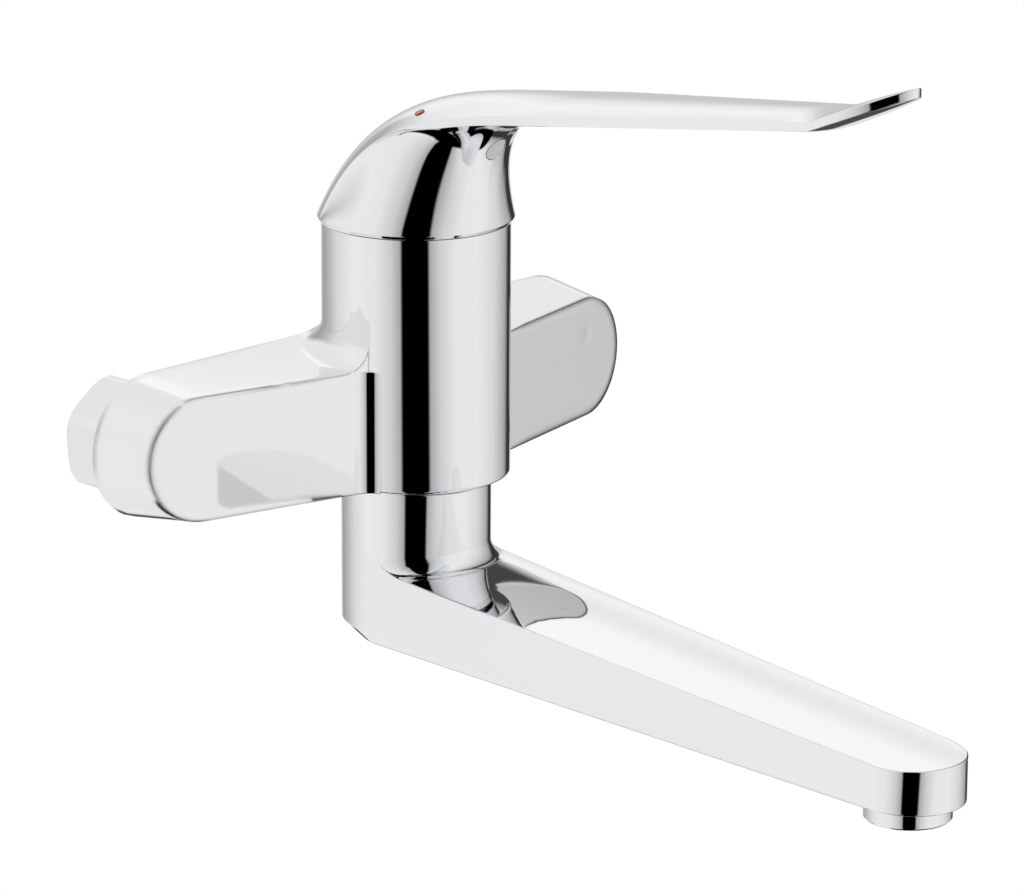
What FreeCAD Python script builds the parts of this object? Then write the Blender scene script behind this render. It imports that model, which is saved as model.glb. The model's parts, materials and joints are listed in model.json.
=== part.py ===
import FreeCAD, Part
import math
import os

import Sketcher

# Wall-mounted basin mixer with a long lever and a swivelling spout, in millimetres.
# The frame: the origin lies midway between the two inlets, in the plane where their
# union nuts meet the wall fittings. +X runs along the wall, +Y points into the wall, +Z up.

SIZES = {
    # wall connections
    "inlet_spacing": 150.0,
    "inlet_to_column": 42.6,
    "nut_width": 30.0,
    "nut_corner_radius": 16.4,
    "nut_gap": 0.5,
    "nut_thread_radius": 12.06,
    "nut_thread_depth": 7.8,
    "nut_relief": 0.55,
    "nut_lip": 3.6,
    "tail_radius": 9.5,
    "tail_bore": 6.5,
    "tail_insertion": 17.0,
    "collar_thickness": 1.8,
    "gasket_thickness": 1.2,
    "filter_thickness": 0.8,
    "filter_hole_radius": 0.7,
    # cast body
    "column_radius": 25.9,
    "seam_height": 54.0,
    "column_edge": 1.1,
    "arm_radius": 17.0,
    "arm_flare": 2.9,
    "arm_sweep": 13.1,
    "arm_rear": 15.2,
    "arm_front": 37.5,
    "arm_root_fillet": 7.0,
    "arm_front_fillet": 2.0,
    "channel_radius": 4.0,
    "channel_height": 7.0,
    "channel_back": 32.0,
    # cartridge
    "chamber_radius": 18.0,
    "chamber_depth": 38.0,
    "clamp_bore_radius": 20.5,
    "clamp_bore_depth": 12.0,
    "feed_radius": 3.0,
    "feed_offset": 8.0,
    "outlet_radius": 4.2,
    "outlet_offset": 6.0,
    "housing_wall": 2.1,
    "housing_roof": 3.0,
    "housing_flange": 3.0,
    "base_thickness": 4.0,
    "base_seal_radius": 4.2,
    "base_seal_height": 1.2,
    "disc_thickness": 4.0,
    "moving_disc_radius": 11.5,
    "carrier_height": 4.6,
    "rotor_height": 9.0,
    "rotor_neck_radius": 8.8,
    "pivot_depth": 12.0,
    "pin_radius": 1.5,
    "stem_width": 7.9,
    "stem_ball_radius": 3.0,
    "stem_ball_drop": 10.0,
    "stem_top": 28.0,
    "stop_ring_height": 2.0,
    "clamp_ring_height": 7.0,
    "clamp_ring_inner": 14.0,
    "guard_height": 4.0,
    "guard_inner": 17.6,
    # lever
    "lip_radius": 27.0,
    "lip_chamfer": 0.6,
    "lip_gap": 0.3,
    "blade_start": 60.0,
    "blade_start_height": 40.7,
    "blade_slope": 7.1,
    "blade_half_width": 21.9,
    "blade_taper": 4.9,
    "blade_thickness": 2.4,
    "blade_crown": 0.5,
    "blade_keel": 1.2,
    "full_crown_half_width": 14.1,
    "blade_end": 150.4,
    "back_lean": 20.5,
    "back_rise": 41.1,
    "top_forward": 24.0,
    "top_swell": 3.7,
    "throat_lean": 4.7,
    "throat_rise": 28.2,
    "throat_forward": 31.2,
    "throat_drop": 10.6,
    "waist": 2.0,
    "corner_angle": 8.0,
    "lip_height": 1.0,
    "tip_reach": 174.2,
    "tip_bend": 15.8,
    "tip_fullness": 2.34,
    "tip_roundness": 0.7,
    "boss_radius": 8.0,
    "boss_drop": 12.5,
    "screw_height": 24.0,
    "screw_radius": 2.5,
    "screw_length": 9.0,
    "plug_radius": 3.15,
    "mark_radius": 1.45,
    "mark_depth": 0.8,
    "mark_offset": 15.7,
    "mark_forward": 16.5,
    # spout
    "spout_radius": 20.7,
    "spout_reach": 176.7,
    "spout_tip_radius": 15.1,
    "spout_top": 40.2,
    "spout_bottom": 59.0,
    "spout_top_slope": 5.3,
    "spout_bottom_slope": 3.05,
    "spout_crown_radius": 95.0,
    "spout_bevel": 4.9,
    "spout_bevel_end": 0.3,
    "spout_root_fillet": 5.0,
    "neck_radius": 12.0,
    "neck_length": 18.6,
    "socket_room": 0.6,
    "waterway_radius": 6.0,
    "spout_channel_radius": 4.5,
    "spout_channel_drop": 48.4,
    "spout_channel_slope": 4.45,
    "spout_gap": 0.35,
    "spout_clearance": 1.5,
    "glide_ring_thickness": 1.5,
    "glide_ring_radius": 18.0,
    "oring_radius": 1.2,
    "oring_first": 3.0,
    "oring_pitch": 3.6,
    "lock_groove_drop": 11.6,
    "lock_groove_depth": 2.0,
    "lock_screw_radius": 2.4,
    # outlet
    "aerator_radius": 11.6,
    "aerator_thread_radius": 11.0,
    "aerator_drop": 5.7,
    "aerator_depth": 8.0,
    "aerator_seat": 0.8,
    "aerator_wall": 1.35,
    "aerator_seal_thickness": 0.6,
    "insert_flange": 0.8,
    "insert_floor": 2.0,
    "insert_hole_radius": 0.7,
    # clearances
    "running_clearance": 0.08,
    "fitted_clearance": 0.05,
    "free_clearance": 0.3,
}

doc = FreeCAD.newDocument("basin_mixer")
sheet = doc.addObject("Spreadsheet::Sheet", "Sizes")


def fill_sheet():
    for row, (name, value) in enumerate(SIZES.items(), start=1):
        sheet.set("A%d" % row, name)
        sheet.set("B%d" % row, repr(value))
        sheet.setAlias("B%d" % row, name)
    doc.recompute()


fill_sheet()


def size(name):
    return float(sheet.get(name))


def bind(obj, **expressions):
    """Ties properties of an object to the sheet; words in an expression are size names."""
    for prop, expression in expressions.items():
        obj.setExpression(prop.replace("__", "."), tied(expression))
    return obj


def tied(expression):
    out = []
    word = ""
    for char in expression + " ":
        if char.isalnum() or char == "_":
            word += char
            continue
        out.append("Sizes." + word if word in SIZES else word)
        out.append(char)
        word = ""
    return "".join(out).strip()


TURN = {
    "+Z": FreeCAD.Rotation(),
    "nut": FreeCAD.Rotation(FreeCAD.Vector(1, 0, 0), 90) * FreeCAD.Rotation(FreeCAD.Vector(0, 0, 1), 30),
    "+Y": FreeCAD.Rotation(FreeCAD.Vector(1, 0, 0), -90),
    "-Y": FreeCAD.Rotation(FreeCAD.Vector(1, 0, 0), 90),
    "+X": FreeCAD.Rotation(FreeCAD.Vector(0, 1, 0), 90),
    "spout": FreeCAD.Rotation(FreeCAD.Vector(1, 0, 0), 90 + size("spout_channel_slope")),
}
COLUMN_Y = "-inlet_to_column"
SEAM = "seam_height"
OUTLET_Y = "-inlet_to_column - outlet_offset"
SOCKET_DEPTH = "(neck_length + socket_room)"
LOCK_Z = "-arm_radius + neck_length - lock_groove_drop"
PIVOT_Z = "(seam_height - pivot_depth)"
HOUSING_RADIUS = "(chamber_radius - free_clearance)"
HOUSING_INNER = "(chamber_radius - free_clearance - housing_wall)"
FLANGE_Z = "(seam_height - clamp_bore_depth)"
FLOOR_Z = "(seam_height - chamber_depth)"
DISC_Z = "(seam_height - chamber_depth + base_thickness)"
MOVING_Z = "(seam_height - chamber_depth + base_thickness + disc_thickness + fitted_clearance)"
CARRIER_Z = "(seam_height - chamber_depth + base_thickness + 2 * disc_thickness + fitted_clearance)"
PLUG_Y = "(-inlet_to_column - lip_radius)"
CAP_ROOM = ("0", "-inlet_to_column - 1.5 * lip_radius", "seam_height + screw_height - 2 * plug_radius")
SHOULDER_Z = "(-arm_radius - spout_gap)"
NECK_TOP = "(-arm_radius - spout_gap + neck_length)"
AERATOR_Y = "(-inlet_to_column - spout_reach)"
OUTLET_Z = "(-spout_bottom - spout_reach * tan(spout_bottom_slope * 1 deg))"
SEAT_Z = "(-spout_bottom - spout_reach * tan(spout_bottom_slope * 1 deg) + aerator_seat)"
BORE_TOP = "(-spout_bottom - spout_reach * tan(spout_bottom_slope * 1 deg) + aerator_depth)"


def place(obj, at, towards="+Z"):
    obj.Placement = FreeCAD.Placement(FreeCAD.Vector(), TURN[towards])
    x, y, z = at
    bind(obj, Placement__Base__x=x, Placement__Base__y=y, Placement__Base__z=z)
    return obj


def rod(radius, length, at, towards="+Z"):
    """A plain cylinder that starts at a point and runs one way."""
    obj = doc.addObject("Part::Cylinder", "rod")
    bind(obj, Radius=radius, Height=length)
    return place(obj, at, towards)


def block(width, depth, height, at):
    """A box centred on a point in X and Y that stands on it in Z."""
    obj = doc.addObject("Part::Box", "block")
    bind(obj, Length=width, Width=depth, Height=height)
    x, y, z = at
    return place(obj, ("(%s) - (%s) / 2" % (x, width), "(%s) - (%s) / 2" % (y, depth), z))


def ball(radius, at):
    obj = doc.addObject("Part::Sphere", "ball")
    bind(obj, Radius=radius)
    return place(obj, at)


def joined(parts, label="joined"):
    obj = doc.addObject("Part::MultiFuse", label)
    obj.Shapes = parts
    obj.Label = label
    return obj


def shared(parts, label="shared"):
    obj = doc.addObject("Part::MultiCommon", label)
    obj.Shapes = parts
    obj.Label = label
    return obj


def cut(base, tools, label="cut"):
    obj = doc.addObject("Part::Cut", label)
    obj.Base = base
    obj.Tool = tools[0] if len(tools) == 1 else joined(tools, "tools")
    obj.Label = label
    return obj


def ring(label, outer, inner, height, at, towards="+Z"):
    return cut(rod(outer, height, at, towards), [rod(inner, height, at, towards)], label)


def plane_of(body, role):
    return [f for f in body.Origin.OriginFeatures if f.Role == role][0]


def turned(label, corners, at, towards="+Z"):
    """A turned piece: corners are the (radius, height) pairs of its half section, in order."""
    body = doc.addObject("PartDesign::Body", label)
    sketch = body.newObject("Sketcher::SketchObject", label + "_section")
    sketch.AttachmentSupport = [(plane_of(body, "XZ_Plane"), "")]
    sketch.MapMode = "FlatFace"
    count = len(corners)
    spots = []
    for index in range(count):
        angle = 2 * math.pi * index / count
        spots.append(FreeCAD.Vector(30 + 10 * math.cos(angle), 10 * math.sin(angle), 0))
    for index in range(count):
        sketch.addGeometry(Part.LineSegment(spots[index], spots[(index + 1) % count]), False)
    for index in range(count):
        sketch.addConstraint(Sketcher.Constraint("Coincident", index, 2, (index + 1) % count, 1))
    for index, (radius, height) in enumerate(corners):
        for kind, value in (("DistanceX", radius), ("DistanceY", height)):
            number = sketch.addConstraint(Sketcher.Constraint(kind, -1, 1, index, 1, 5.0))
            sketch.setExpression("Constraints[%d]" % number, tied(value))
    turn = body.newObject("PartDesign::Revolution", label + "_turned")
    turn.Profile = sketch
    turn.ReferenceAxis = (sketch, ["V_Axis"])
    turn.Angle = 360.0
    body.Tip = turn
    return place(body, at, towards)


def computed(label, shape):
    obj = doc.addObject("Part::Feature", label)
    obj.Label = label
    obj.Shape = shape
    return obj


def arm_section(side, radius, line_y, sweep):
    """The long outline of an arm: a half round at the inlet and straight edges to the middle plane."""
    run = FreeCAD.Vector(side * math.cos(sweep), math.sin(sweep), 0)
    centre = FreeCAD.Vector(side * size("inlet_spacing") / 2, line_y, 0)
    middle = centre - run * (size("inlet_spacing") / 2 / math.cos(sweep))
    up = FreeCAD.Vector(0, 0, radius)
    edges = [
        Part.LineSegment(middle - up, centre - up),
        Part.Arc(centre - up, centre + run * radius, centre + up),
        Part.LineSegment(centre + up, middle + up),
        Part.LineSegment(middle + up, middle - up),
    ]
    return Part.Wire([edge.toShape() for edge in edges])


def arm(side):
    """An inlet arm: its front face is swept back towards the wall and it widens to the rear."""
    front = arm_section(side, size("arm_radius"), -size("arm_front"), math.radians(size("arm_sweep")))
    rear = arm_section(side, size("arm_radius") + size("arm_flare"), -size("arm_rear"), 0)
    return Part.makeLoft([front, rear], True, True)


def arm_slab(stretch):
    """The part of the right arm between its level edges, run on past both faces."""
    reach = size("inlet_spacing") / 2
    lines = []
    for line_y, radius, angle in (
        (-size("arm_front"), size("arm_radius"), math.radians(size("arm_sweep"))),
        (-size("arm_rear"), size("arm_radius") + size("arm_flare"), 0),
    ):
        inner = FreeCAD.Vector(0, line_y - reach * math.tan(angle), radius)
        lines.append((inner, FreeCAD.Vector(reach, line_y, radius)))
    wires = []
    for near, far in (lines, lines[::-1]):
        top = [a + (a - b) * stretch for a, b in zip(near, far)]
        low = [FreeCAD.Vector(p.x, p.y, -p.z) for p in top]
        wires.append(Part.makePolygon([top[0], top[1], low[1], low[0], top[0]]))
    return Part.makeLoft(wires, True, True)


def column_half():
    """The right half of the column, with its lower edge rounded."""
    radius = size("column_radius")
    foot = FreeCAD.Vector(0, -size("inlet_to_column"), -size("arm_radius"))
    column = Part.makeCylinder(radius, size("seam_height") + size("arm_radius"), foot)
    rim = [edge for edge in column.Edges if edge.BoundBox.ZMax < foot.z + 0.01]
    column = column.makeFillet(size("column_edge"), rim)
    room = Part.makeBox(2 * radius, 4 * radius, 8 * radius, foot - FreeCAD.Vector(0, 2 * radius, radius))
    return column.common(room)


def column_distance(point):
    return math.hypot(point.x, point.y + size("inlet_to_column"))


def is_arm_top_root(edge):
    """True for the edge where an arm's top face meets the column's wall."""
    points = edge.discretize(7)
    level = size("arm_radius")
    if min(point.z for point in points) < level - size("arm_flare"):
        return False
    if max(point.z for point in points) > level + 3 * size("arm_flare"):
        return False
    return all(abs(column_distance(point) - size("column_radius")) < 0.01 for point in points)


def between_faces():
    """The upright block between the planes of the right arm's front and rear faces."""
    reach = size("inlet_spacing") / 2
    drop = reach * math.tan(math.radians(size("arm_sweep")))
    plan = [
        (0, -size("arm_front") - drop),
        (reach, -size("arm_front")),
        (reach, -size("arm_rear")),
        (0, -size("arm_rear")),
    ]
    low = -2 * size("arm_radius")
    outline = Part.makePolygon([FreeCAD.Vector(x, y, low) for x, y in plan + plan[:1]])
    return Part.Face(outline).extrude(FreeCAD.Vector(0, 0, size("seam_height") - 2 * low))


def front_hollow():
    """The upright hollow curve between the column and the right arm's front face."""
    sweep = math.radians(size("arm_sweep"))
    run = FreeCAD.Vector(math.cos(sweep), math.sin(sweep), 0)
    out = FreeCAD.Vector(math.sin(sweep), -math.cos(sweep), 0)
    low = FreeCAD.Vector(0, 0, -size("arm_radius"))
    axis = FreeCAD.Vector(0, -size("inlet_to_column"), 0) + low
    on_face = FreeCAD.Vector(size("inlet_spacing") / 2, -size("arm_front"), 0) + low
    depth = (on_face - axis).dot(out)
    curve = size("arm_front_fillet")
    reach = size("column_radius") + curve
    along = math.sqrt(reach ** 2 - (depth + curve) ** 2)
    centre = axis + run * along + out * (depth + curve)
    foot = centre - out * curve
    wall = axis + (centre - axis) * (size("column_radius") / reach)
    half_way = ((foot - centre) + (wall - centre)).normalize() * curve + centre
    inside = foot - out * curve
    edges = [
        Part.Arc(foot, half_way, wall).toShape(),
        Part.makeLine(wall, axis),
        Part.makeLine(axis, inside),
        Part.makeLine(inside, foot),
    ]
    return Part.Face(Part.Wire(edges)).extrude(FreeCAD.Vector(0, 0, 2 * size("arm_radius")))


def casting_outside():
    """Column and arms in one: the right half is made and mirrored."""
    column = column_half()
    crossed = column.fuse(arm_slab(1.0))
    roots = [edge for edge in crossed.Edges if is_arm_top_root(edge)]
    crossed = crossed.makeFillet(size("arm_root_fillet"), roots)
    half = crossed.common(between_faces().fuse(column))
    half = half.fuse([arm(1), front_hollow()])
    return half.fuse(half.mirror(FreeCAD.Vector(), FreeCAD.Vector(1, 0, 0))).removeSplitter()


def mixer_body():
    """The cast body: cartridge chamber, waterways, spout socket and inlet sockets."""
    outside = computed("casting_outside", casting_outside())
    neck_room = "neck_radius + running_clearance"
    tools = [
        rod("chamber_radius", "chamber_depth + 1", ("0", COLUMN_Y, FLOOR_Z)),
        rod("clamp_bore_radius", "clamp_bore_depth + 1", ("0", COLUMN_Y, "seam_height - clamp_bore_depth")),
        rod(neck_room, SOCKET_DEPTH + " + 1", ("0", COLUMN_Y, "-arm_radius - 1")),
        rod("outlet_radius", FLOOR_Z + " + arm_radius / 2 + 1", ("0", OUTLET_Y, "-arm_radius / 2")),
        rod(
            "lock_screw_radius + fitted_clearance",
            "inlet_to_column - arm_rear + 1",
            ("0", "-arm_rear + 1", LOCK_Z),
            "-Y",
        ),
        rod("spout_radius + spout_clearance", "2 * arm_flare", ("0", COLUMN_Y, "-arm_radius - 2 * arm_flare")),
    ]
    for side in ("-", ""):
        feed_x = side + "feed_offset"
        tools.append(rod("feed_radius", FLOOR_Z, (feed_x, "-channel_back", "channel_height / 2")))
        tools.append(
            rod(
                "tail_radius + fitted_clearance",
                "tail_insertion + fitted_clearance",
                (side + "inlet_spacing / 2", "-arm_rear", "0"),
                "-Y",
            )
        )
    for start in ("-inlet_spacing / 2", "feed_offset - feed_radius"):
        length = "inlet_spacing / 2 - feed_offset + feed_radius"
        tools.append(rod("channel_radius", length, (start, "-channel_back", "channel_height"), "+X"))
    return cut(outside, tools, "mixer_body")


def inlet_tail(side, word):
    """The threaded tail that seals in the body and carries the union nut on its collar."""
    seat = "arm_rear"
    lip = "(arm_rear - nut_gap - nut_lip)"
    collar_back = lip + " - 3 * running_clearance"
    collar = "tail_radius + 0.75 * nut_lip"
    front = collar_back + " - collar_thickness"
    corners = [
        ("tail_bore", front),
        (collar, front),
        (collar, collar_back),
        ("tail_radius", collar_back),
        ("tail_radius", seat + " + tail_insertion"),
        ("tail_bore", seat + " + tail_insertion"),
    ]
    return turned("inlet_tail_" + word, corners, (side + "inlet_spacing / 2", "0", "0"), "-Y")


def union_nut(side, word):
    """A hexagon union nut with truncated corners; its thread takes the wall fitting."""
    x = side + "inlet_spacing / 2"
    length = "(arm_rear - nut_gap)"
    lip = "(arm_rear - nut_gap - nut_lip)"
    hexagon = doc.addObject("Part::Prism", "hexagon")
    hexagon.Polygon = 6
    bind(hexagon, Circumradius="nut_width / sqrt(3)", Height=length)
    place(hexagon, (x, "0", "0"), "nut")
    outside = shared([hexagon, rod("nut_corner_radius", length, (x, "0", "0"), "-Y")], "nut_outside")
    tools = [
        rod("nut_thread_radius", lip, (x, "0", "0"), "-Y"),
        rod("nut_thread_radius + nut_relief", lip + " - nut_thread_depth", (x, "-nut_thread_depth", "0"), "-Y"),
        rod("tail_radius + running_clearance", length, (x, "0", "0"), "-Y"),
    ]
    return cut(outside, tools, "union_nut_" + word)


def inlet_gasket(side, word):
    y = "-(arm_rear - nut_gap - nut_lip - 3 * running_clearance - collar_thickness)"
    at = (side + "inlet_spacing / 2", y, "0")
    return ring("inlet_gasket_" + word, "tail_radius + 0.6 * nut_lip", "tail_bore + 1", "gasket_thickness", at, "+Y")


def inlet_filter(side, word):
    """A perforated disc that sits in the gasket and keeps grit out."""
    x = side + "inlet_spacing / 2"
    y = "-(arm_rear - nut_gap - nut_lip - 3 * running_clearance - collar_thickness)"
    plate = rod("tail_bore + 1", "filter_thickness", (x, y, "0"), "+Y")
    holes = [rod("filter_hole_radius", "filter_thickness + 2", (x, y + " - 1", "0"), "+Y")]
    for count, share in ((6, 0.34), (12, 0.68)):
        for index in range(count):
            angle = 360.0 * index / count
            across = "%s + tail_bore * %s * cos(%s deg)" % (x, share, angle)
            up = "tail_bore * %s * sin(%s deg)" % (share, angle)
            holes.append(rod("filter_hole_radius", "filter_thickness + 2", (across, y + " - 1", up), "+Y"))
    return cut(plate, holes, "inlet_filter_" + word)


def cartridge_base():
    """The base plate with its three ports and a recess for each port's seal."""
    base = rod(HOUSING_RADIUS, "base_thickness", ("0", COLUMN_Y, FLOOR_Z))
    tools = []
    for x, y, radius in PORTS:
        tools.append(rod(radius, "base_thickness + 2", (x, y, FLOOR_Z + " - 1")))
        tools.append(rod("base_seal_radius", "base_seal_height + 1", (x, y, FLOOR_Z + " - 1")))
    return cut(base, tools, "cartridge_base")


PORTS = [
    ("-feed_offset", "-channel_back", "feed_radius"),
    ("feed_offset", "-channel_back", "feed_radius"),
    ("0", OUTLET_Y, "feed_radius"),
]


def base_seals():
    """Three port seals pressed between the base plate and the chamber floor."""
    seals = []
    for x, y, radius in PORTS:
        seals.append(ring("port_seal", "base_seal_radius", radius, "base_seal_height", (x, y, FLOOR_Z)))
    return joined(seals, "port_seals")


def fixed_disc():
    disc = rod(HOUSING_INNER + " - fitted_clearance", "disc_thickness", ("0", COLUMN_Y, DISC_Z))
    tools = [rod(radius, "disc_thickness + 2", (x, y, DISC_Z + " - 1")) for x, y, radius in PORTS]
    return cut(disc, tools, "fixed_disc")


def moving_disc():
    """The upper ceramic disc, hollowed below so that it joins the ports as it slides."""
    disc = rod("moving_disc_radius", "disc_thickness", ("0", COLUMN_Y, MOVING_Z))
    hollow = rod("moving_disc_radius * 0.6", "disc_thickness / 2 + 1", ("0", COLUMN_Y, MOVING_Z + " - 1"))
    return cut(disc, [hollow], "moving_disc")


def disc_carrier():
    """The driver fixed on the moving disc; its slot takes the ball end of the stem."""
    carrier = rod("moving_disc_radius", "carrier_height", ("0", COLUMN_Y, CARRIER_Z))
    slot = "stem_ball_radius + 0.5 * free_clearance"
    slot_z = PIVOT_Z + " - stem_ball_drop - stem_ball_radius - free_clearance"
    tools = [rod(slot, "carrier_height", ("0", COLUMN_Y, slot_z))]
    return cut(carrier, tools, "disc_carrier")


def cartridge_housing():
    """The housing: a turned shell with a flange under the clamp ring and a roof around the neck."""
    corners = [
        (HOUSING_INNER, DISC_Z),
        (HOUSING_RADIUS, DISC_Z),
        (HOUSING_RADIUS, FLANGE_Z),
        ("clamp_bore_radius - free_clearance", FLANGE_Z),
        ("clamp_bore_radius - free_clearance", FLANGE_Z + " + housing_flange"),
        ("rotor_neck_radius + running_clearance", FLANGE_Z + " + housing_flange"),
        ("rotor_neck_radius + running_clearance", FLANGE_Z + " + housing_flange - housing_roof"),
        (HOUSING_INNER, FLANGE_Z + " + housing_flange - housing_roof"),
    ]
    return turned("cartridge_housing", corners, ("0", COLUMN_Y, "0"))


def rotor():
    """The turning guide in the housing; the stem swings in its slot on the pin."""
    roof = FLANGE_Z + " + housing_flange - housing_roof - free_clearance"
    corners = [
        ("0", roof + " - rotor_height"),
        (HOUSING_INNER + " - running_clearance", roof + " - rotor_height"),
        (HOUSING_INNER + " - running_clearance", roof),
        ("rotor_neck_radius", roof),
        ("rotor_neck_radius", FLANGE_Z + " + housing_flange + stop_ring_height"),
        ("0", FLANGE_Z + " + housing_flange + stop_ring_height"),
    ]
    blank = turned("rotor_blank", corners, ("0", COLUMN_Y, "0"))
    slot = block(
        "stem_width + 2 * free_clearance",
        "stem_width + 2 * pivot_depth * 0.38",
        "rotor_height * 4",
        ("0", COLUMN_Y, FLANGE_Z + " - 2 * rotor_height"),
    )
    pin_hole = rod("pin_radius", "2 * chamber_radius", ("-chamber_radius", COLUMN_Y, PIVOT_Z), "+X")
    return cut(blank, [slot, pin_hole], "cartridge_rotor")


def stem_pin():
    start = "-rotor_neck_radius + free_clearance"
    pin = rod("pin_radius", "2 * (rotor_neck_radius - free_clearance)", (start, COLUMN_Y, PIVOT_Z), "+X")
    pin.Label = "stem_pin"
    return pin


def stem():
    """The square lever stem with its ball end below the pin."""
    bar = block(
        "stem_width",
        "stem_width",
        "stem_top + pivot_depth + stem_ball_drop / 2",
        ("0", COLUMN_Y, PIVOT_Z + " - stem_ball_drop / 2"),
    )
    shank = rod("stem_ball_radius * 0.8", "stem_ball_drop", ("0", COLUMN_Y, PIVOT_Z + " - stem_ball_drop"))
    end = ball("stem_ball_radius", ("0", COLUMN_Y, PIVOT_Z + " - stem_ball_drop"))
    hole = rod(
        "pin_radius + running_clearance",
        "2 * stem_width",
        ("-stem_width", COLUMN_Y, PIVOT_Z),
        "+X",
    )
    return cut(joined([bar, shank, end]), [hole], "lever_stem")


def stop_ring():
    """The temperature stop: a ring with a tooth gap on the housing around the rotor neck."""
    z = FLANGE_Z + " + housing_flange"
    whole = ring(
        "stop_blank",
        "clamp_ring_inner - free_clearance",
        "rotor_neck_radius + free_clearance",
        "stop_ring_height",
        ("0", COLUMN_Y, z),
    )
    notch = block("stem_width / 2", "4", "4 * stop_ring_height", ("0", COLUMN_Y + " + clamp_ring_inner", z + " - stop_ring_height"))
    return cut(whole, [notch], "temperature_stop_ring")


def clamp_ring():
    """The threaded ring that holds the cartridge down, with a hexagon for the key."""
    z = FLANGE_Z + " + housing_flange"
    blank = rod("clamp_bore_radius", "clamp_ring_height", ("0", COLUMN_Y, z))
    key = doc.addObject("Part::Prism", "key_room")
    key.Polygon = 6
    bind(key, Circumradius="clamp_ring_inner * 1.12", Height="clamp_ring_height")
    place(key, ("0", COLUMN_Y, z + " + clamp_ring_height / 2"))
    hole = rod("clamp_ring_inner", "clamp_ring_height + 2", ("0", COLUMN_Y, z + " - 1"))
    return cut(blank, [key, hole], "clamp_ring")


def guard_ring():
    """The bright ring on the column's top that hides the cartridge when the lever is up."""
    corners = [
        ("guard_inner", "0"),
        ("clamp_bore_radius + 2", "0"),
        ("clamp_bore_radius + 2", "guard_height * 0.5"),
        ("clamp_bore_radius + 1", "guard_height"),
        ("guard_inner", "guard_height"),
    ]
    return turned("guard_ring", corners, ("0", COLUMN_Y, SEAM))


def bezier(points, share):
    """A point on the cubic curve with four control points."""
    rest = 1 - share
    weights = (rest ** 3, 3 * rest ** 2 * share, 3 * rest * share ** 2, share ** 3)
    return sum((point * weight for point, weight in zip(points, weights)), FreeCAD.Vector())


def lever_point(forward, height):
    """A point in the lever's middle plane, by its distance in front of the column's axis."""
    return FreeCAD.Vector(0, -size("inlet_to_column") - forward, size("seam_height") + height)


def blade_top(forward):
    slope = math.tan(math.radians(size("blade_slope")))
    return size("blade_start_height") + (forward - size("blade_start")) * slope


def lever_back():
    """The curve up the back of the dome and forward along the blade's top."""
    start = size("blade_start")
    return [
        lever_point(-size("lip_radius"), size("lip_gap") + size("lip_height")),
        lever_point(-size("lip_radius") + size("back_lean"), size("back_rise")),
        lever_point(size("top_forward"), blade_top(size("top_forward")) + size("top_swell")),
        lever_point(start, blade_top(start)),
    ]


def lever_throat():
    """The curve up the front of the dome and forward along the blade's underside."""
    start = size("blade_start")
    under = size("blade_thickness")
    middle = size("throat_forward")
    return [
        lever_point(size("lip_radius"), size("lip_gap") + size("lip_height")),
        lever_point(size("lip_radius") - size("throat_lean"), size("throat_rise")),
        lever_point(middle, blade_top(middle) - under - size("throat_drop")),
        lever_point(start, blade_top(start) - under),
    ]


def section_wire(low, high, half_width, flatness):
    """A closed section between two points of the middle plane.

    It is an ellipse at flatness 0 and the blade's section at flatness 1, with its four
    corners in the same order throughout. The blade is slightly round on its top and more
    so on its underside.
    """
    middle = (low + high) * 0.5
    up = (high - low) * 0.5
    side = FreeCAD.Vector(half_width, 0, 0)
    corner = math.radians(size("corner_angle"))
    fullness = min(1.0, half_width / size("full_crown_half_width"))
    crown = fullness * size("blade_crown") / up.Length
    keel = fullness * size("blade_keel") / up.Length
    edges = []
    for turn, spread in ((0, corner), (90, math.pi / 2 - corner), (180, corner), (270, math.pi / 2 - corner)):
        points = []
        for step in range(9):
            along = step / 4.0 - 1
            angle = math.radians(turn) + along * spread
            square = {
                0: (1, along),
                90: (-along, 1 + crown * (1 - along ** 2)),
                180: (-1, -along),
                270: (along, -1 - keel * (1 - along ** 2)),
            }[turn]
            across = (1 - flatness) * math.cos(angle) + flatness * square[0]
            above = (1 - flatness) * math.sin(angle) + flatness * square[1]
            points.append(middle + side * across + up * above)
        curve = Part.BSplineCurve()
        curve.interpolate(points)
        edges.append(curve.toShape())
    return Part.Wire(edges)


def lever_width(share):
    """Half the lever's width at a share of the way up the dome."""
    narrowing = (size("blade_half_width") - size("lip_radius")) * math.sqrt(share)
    return size("lip_radius") + narrowing - 4 * size("waist") * share * (1 - share)


def squareness(share):
    """How far a section has turned from the dome's ellipse to the blade's flat form."""
    start = 0.6
    share = min(1.0, max(0.0, (share - start) / (1 - start)))
    return (share * share * (3 - 2 * share)) ** 3


def lever_outside():
    back = lever_back()
    throat = lever_throat()
    wires = []
    for step in range(15):
        share = step / 14.0
        low = bezier(throat, share)
        high = bezier(back, share)
        wires.append(section_wire(low, high, lever_width(share), squareness(share)))
    dome = Part.makeLoft(wires, True, False)
    rim = size("lip_radius") - size("lip_chamfer")
    rim_wire = section_wire(lever_point(rim, size("lip_gap")), lever_point(-rim, size("lip_gap")), rim, 0)
    lip = Part.makeLoft([rim_wire, wires[0]], True, True)
    return dome.fuse([lip, blade(), tip()]).removeSplitter()


def blade_wire(forward, half_width, top):
    """The blade's upright section at one place, by the height of its upper corners."""
    high = lever_point(forward, top)
    low = lever_point(forward, top - size("blade_thickness"))
    return section_wire(low, high, half_width, 1.0)


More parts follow.
